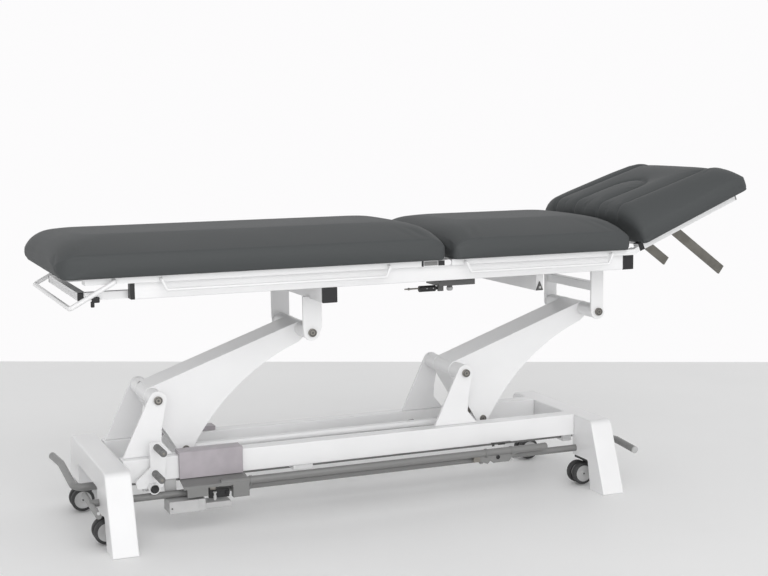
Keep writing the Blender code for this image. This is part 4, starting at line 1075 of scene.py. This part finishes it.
class TABLE_OT_controls(bpy.types.Operator):
    """Sleeves, tips, switch and clips of the foot controls, and the release lever's small parts"""

    bl_idname = "table.controls"
    bl_label = "Foot controls"

    def execute(self, context):
        self.rocker()
        self.tips()
        self.switch()
        self.box()
        self.bar_plate()
        self.release()
        self.shoe()
        return {"FINISHED"}

    def turned(self, name, body, slot, profile, centre, axis, steps=32):
        """One turned piece."""
        bm = bmesh.new()
        add_lathe(bm, profile, centre, axis, steps)
        return dressed(from_bmesh(name, bm), body, slot)

    def blocks(self, name, body, slot, *corners, round_by=0.0008):
        """One piece of rounded blocks, each given by two corners counted from the middle of the base."""
        bm = bmesh.new()
        for low, high in corners:
            add_block(bm, placed(*low), placed(*high), round_by, 2)
        return dressed(from_bmesh(name, bm), body, slot)

    def rocker(self):
        """Rubber sleeves with screws on the rocker's pegs, and a black plug in its bearing, painted shade
        for its dark open bore.
        """
        toward = (0, -1, 0)
        for label, x, z in PEGS:
            centre = placed(x, PEG_ROOT, z)
            sleeve = [(0.0, 0.0), (0.0088, 0.0), (0.0092, 0.0015), (0.0092, 0.0735), (0.0084, 0.0768)]
            sleeve += [(0.0060, 0.0780), (0.0052, 0.0772), (0.0, 0.0772)]
            self.turned("peg_sleeve_" + label, "rocker", "sleeve_rubber", sleeve, centre, toward)
            screw = [(0.0, 0.0771), (0.0036, 0.0771), (0.0034, 0.0779)]
            screw += [(0.0018, 0.0782), (0.0014, 0.0777), (0.0, 0.0777)]
            self.turned("peg_screw_" + label, "rocker", "steel", screw, centre, toward, 20)
        # The black plug stands for the shade inside the bearing's open end: painted shade.
        x, _, z = JOINTS["rocker_tip"]["pos_m"]
        centre = (x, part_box("rocker_bearing")[0][1], z)
        bore_shade = [(0.0, -0.003), (0.0106, -0.003), (0.0109, 0.0010)]
        bore_shade += [(0.0099, 0.0015), (0.0088, 0.0007), (0.0, 0.0005)]
        self.turned("bearing_plug", "base", "black_plastic", bore_shade, centre, toward)

    def tips(self):
        """Light tips on the castor levers and on the T bar, and the rounded end of the foot bar."""
        button = [(0.0, -0.004), (0.0100, -0.004), (0.0103, -0.0004)]
        button += [(0.0090, 0.0012), (0.0050, 0.0018), (0.0, 0.0019)]
        for label, (bend, tip) in LEVERS.items():
            tip = placed(*tip)
            axis = tip - placed(*bend)
            self.turned("lever_tip_" + label, "castor_shaft", "light_plastic", button, tip, axis)
        low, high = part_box("near_shaft")
        dot = [(0.0, -0.001), (0.0042, -0.001), (0.0042, 0.0002), (0.0030, 0.0008), (0.0, 0.0009)]
        for side, way, end in (("near", -1, low[1]), ("far", 1, high[1])):
            centre = placed(T_BAR_X, end, T_BAR_Z)
            self.turned("bar_tip_" + side, "near_shaft", "light_plastic", dot, centre, (0, way, 0), 20)
        centre = (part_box("foot_bar")[1][0], FOOT_BAR_Y, FOOT_BAR_Z)
        end = [(0.0, -0.014), (0.0103, -0.014), (0.0105, -0.013), (0.0105, -0.001)]
        end += [(0.0090, 0.0022), (0.0050, 0.0040), (0.0, 0.0045)]
        self.turned("foot_bar_end", "foot_bar", "grey_paint", end, centre, (1, 0, 0))

    def switch(self):
        """The switch behind the pedal, hung on a strap from the bracket under the cover."""
        self.blocks(
            "switch_body", "base", "black_plastic",
            ((-0.4440, -0.1760, 0.0880), (-0.3900, -0.1640, 0.1085)),
            ((-0.4000, -0.1800, 0.0950), (-0.3900, -0.1750, 0.1045)),
            round_by=0.0012,
        )
        self.blocks(
            "switch_strap", "base", "steel",
            ((-0.4400, -0.1700, 0.1085), (-0.4250, -0.1680, 0.1230)),
            ((-0.4400, -0.1700, 0.1215), (-0.4250, -0.1402, 0.1230)),
            ((-0.4400, -0.1415, 0.1215), (-0.4250, -0.1395, 0.1380)),
            round_by=0.0004,
        )
        plunger = [(0.0, 0.0), (0.0030, 0.0), (0.0044, 0.0040), (0.0044, 0.0110), (0.0032, 0.0125)]
        plunger += [(0.0032, 0.0190), (0.0052, 0.0195), (0.0052, 0.0225), (0.0, 0.0230)]
        self.turned("switch_plunger", "base", "light_plastic", plunger, placed(*PLUNGER_AT), (0, 0, 1), 20)

    def box(self):
        """Band, screw and low tray of the control box, and the clip on the near rail."""
        _, y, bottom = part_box("control_box")[0]
        self.blocks(
            "box_band", "base", "light_plastic",
            ((-0.4765, y - 0.0007, bottom - 0.0006), (-0.4705, y + 0.0550, BOX_TOP + 0.0004)),
        )
        self.blocks(
            "box_tray", "base", "light_plastic",
            ((-0.4590, y + 0.0030, bottom + 0.0015), (-0.3880, y + 0.0520, bottom + 0.0180)),
            round_by=0.0030,
        )
        screw = [(0.0, -0.001), (0.0024, -0.001), (0.0022, 0.0006)]
        screw += [(0.0010, 0.0008), (0.0008, 0.0003), (0.0, 0.0003)]
        centre = placed(BOX_SCREW_X, y, BOX_SCREW_Z)
        self.turned("box_screw", "base", "dark_paint", screw, centre, (0, -1, 0), 20)
        rail_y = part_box("base_rail_near")[0][1]
        self.blocks(
            "rail_clip", "base", "dark_paint",
            ((0.3880, rail_y - 0.0085, 0.1415), (0.4500, rail_y + 0.0010, 0.1445)),
            ((0.3880, rail_y - 0.0085, 0.1350), (0.3960, rail_y - 0.0060, 0.1445)),
            ((0.4100, rail_y - 0.0040, 0.1360), (0.4320, rail_y + 0.0010, 0.1425)),
        )

    def bar_plate(self):
        """Eye, stop and tab on the vee plate of the foot bar."""
        toward = (0, -1, 0)
        eye = [(0.0058, -0.0010), (0.0058, 0.0010), (0.0046, 0.0016), (0.0040, 0.0004), (0.0, 0.0003)]
        self.turned("vee_eye", "foot_bar", "black_plastic", eye, placed(*VEE_EYE_AT), toward, 24)
        stop = [(0.0, -0.002), (0.0042, -0.002), (0.0042, 0.0025), (0.0030, 0.0050), (0.0, 0.0056)]
        self.turned("vee_stop", "foot_bar", "light_plastic", stop, placed(*VEE_STOP_AT), toward, 20)
        self.blocks("vee_tab", "foot_bar", "steel", ((0.3130, -0.1870, 0.1040), (0.3330, -0.1790, 0.1200)))

    def release(self):
        """Rivets on the release grip, its thin pull rod, and the white knob of the lever bracket."""
        z = JOINTS["release_squeeze"]["pos_m"][2]
        rivet = [(0.0, -0.001), (0.0014, -0.001), (0.0013, 0.0003), (0.0006, 0.0005), (0.0, 0.0005)]
        for k, x in enumerate(RIVETS_X):
            centre = placed(x, GRIP_FACE, z + RIVET_RISE)
            self.turned(f"grip_rivet_{k}", "release_lever", "light_plastic", rivet, centre, (0, -1, 0), 16)
        rod = [(0.0, 0.0), (0.0020, 0.0006), (0.0020, 0.0100), (0.0034, 0.0108), (0.0034, 0.0150)]
        rod += [(0.0022, 0.0160), (0.0022, 0.0480), (0.0, 0.0480)]
        centre = placed(ROD_X, ROD_Y, z + ROD_RISE)
        self.turned("grip_rod", "release_lever", "steel", rod, centre, (1, 0, 0), 20)
        knob = [(0.0, -0.0010), (0.0060, -0.0008), (0.0086, 0.0020), (0.0088, 0.0080), (0.0062, 0.0105)]
        knob += [(0.0062, 0.0125), (0.0086, 0.0140), (0.0086, 0.0190), (0.0, 0.0190)]
        centre = placed(KNOB_X, KNOB_Y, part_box("lever_bracket")[0][2])
        self.turned("bracket_knob", "top_frame", "light_plastic", knob, centre, (0, 0, 1))

    def shoe(self):
        """The dark shoe on the cross plate under the middle section, with its screw."""
        bm = bmesh.new()
        x, z = SHOE_AT
        outer = [bm.verts.new(placed(x + u, SHOE_OUTER, z + v)) for u, v in SHOE_CORNERS]
        inner = [bm.verts.new(placed(x + u, SHOE_INNER, z + v)) for u, v in SHOE_CORNERS]
        bm.faces.new(outer)
        bm.faces.new(reversed(inner))
        for k in range(len(outer)):
            bm.faces.new((outer[k - 1], inner[k - 1], inner[k], outer[k]))
        bmesh.ops.recalc_face_normals(bm, faces=bm.faces)
        rounded(bm, list(bm.edges), SHOE_ROUND, 2)
        dressed(from_bmesh("cross_plate_shoe", bm), "mid_section", "dark_paint")
        dot = [(0.0, -0.001), (0.0036, -0.001), (0.0034, 0.0006), (0.0, 0.0008)]
        centre = placed(*SHOE_SCREW_AT)
        self.turned("shoe_screw", "mid_section", "light_plastic", dot, centre, (0, -1, 0), 20)


CLASSES = (
    TableSizes,
    TableColours,
    TABLE_OT_stage,
    TABLE_OT_metalwork,
    TABLE_OT_pads,
    TABLE_OT_castors,
    TABLE_OT_caps,
    TABLE_OT_bolts,
    TABLE_OT_controls,
)


class TABLE_PT_panel(bpy.types.Panel):
    """Lists the steps that build the table's looks"""

    bl_idname = "TABLE_PT_panel"
    bl_label = "Treatment table"
    bl_space_type = "VIEW_3D"
    bl_region_type = "UI"
    bl_category = "Table"

    def draw(self, context):
        for group in ("table_sizes", "table_colours"):
            settings = getattr(context.scene, group)
            for name in settings.bl_rna.properties.keys():
                if name not in ("rna_type", "name"):
                    self.layout.prop(settings, name)
        for made in CLASSES:
            if issubclass(made, bpy.types.Operator):
                self.layout.operator(made.bl_idname)


def register():
    for made in (*CLASSES, TABLE_PT_panel):
        bpy.utils.register_class(made)
    bpy.types.Scene.table_sizes = bpy.props.PointerProperty(type=TableSizes)
    bpy.types.Scene.table_colours = bpy.props.PointerProperty(type=TableColours)


def unregister():
    del bpy.types.Scene.table_colours
    del bpy.types.Scene.table_sizes
    for made in reversed((*CLASSES, TABLE_PT_panel)):
        bpy.utils.unregister_class(made)


def main():
    register()
    bpy.ops.table.stage()
    bpy.ops.table.metalwork()
    bpy.ops.table.pads()
    bpy.ops.table.castors()
    bpy.ops.table.caps()
    bpy.ops.table.bolts()
    bpy.ops.table.controls()


if __name__ == "__main__":
    main()
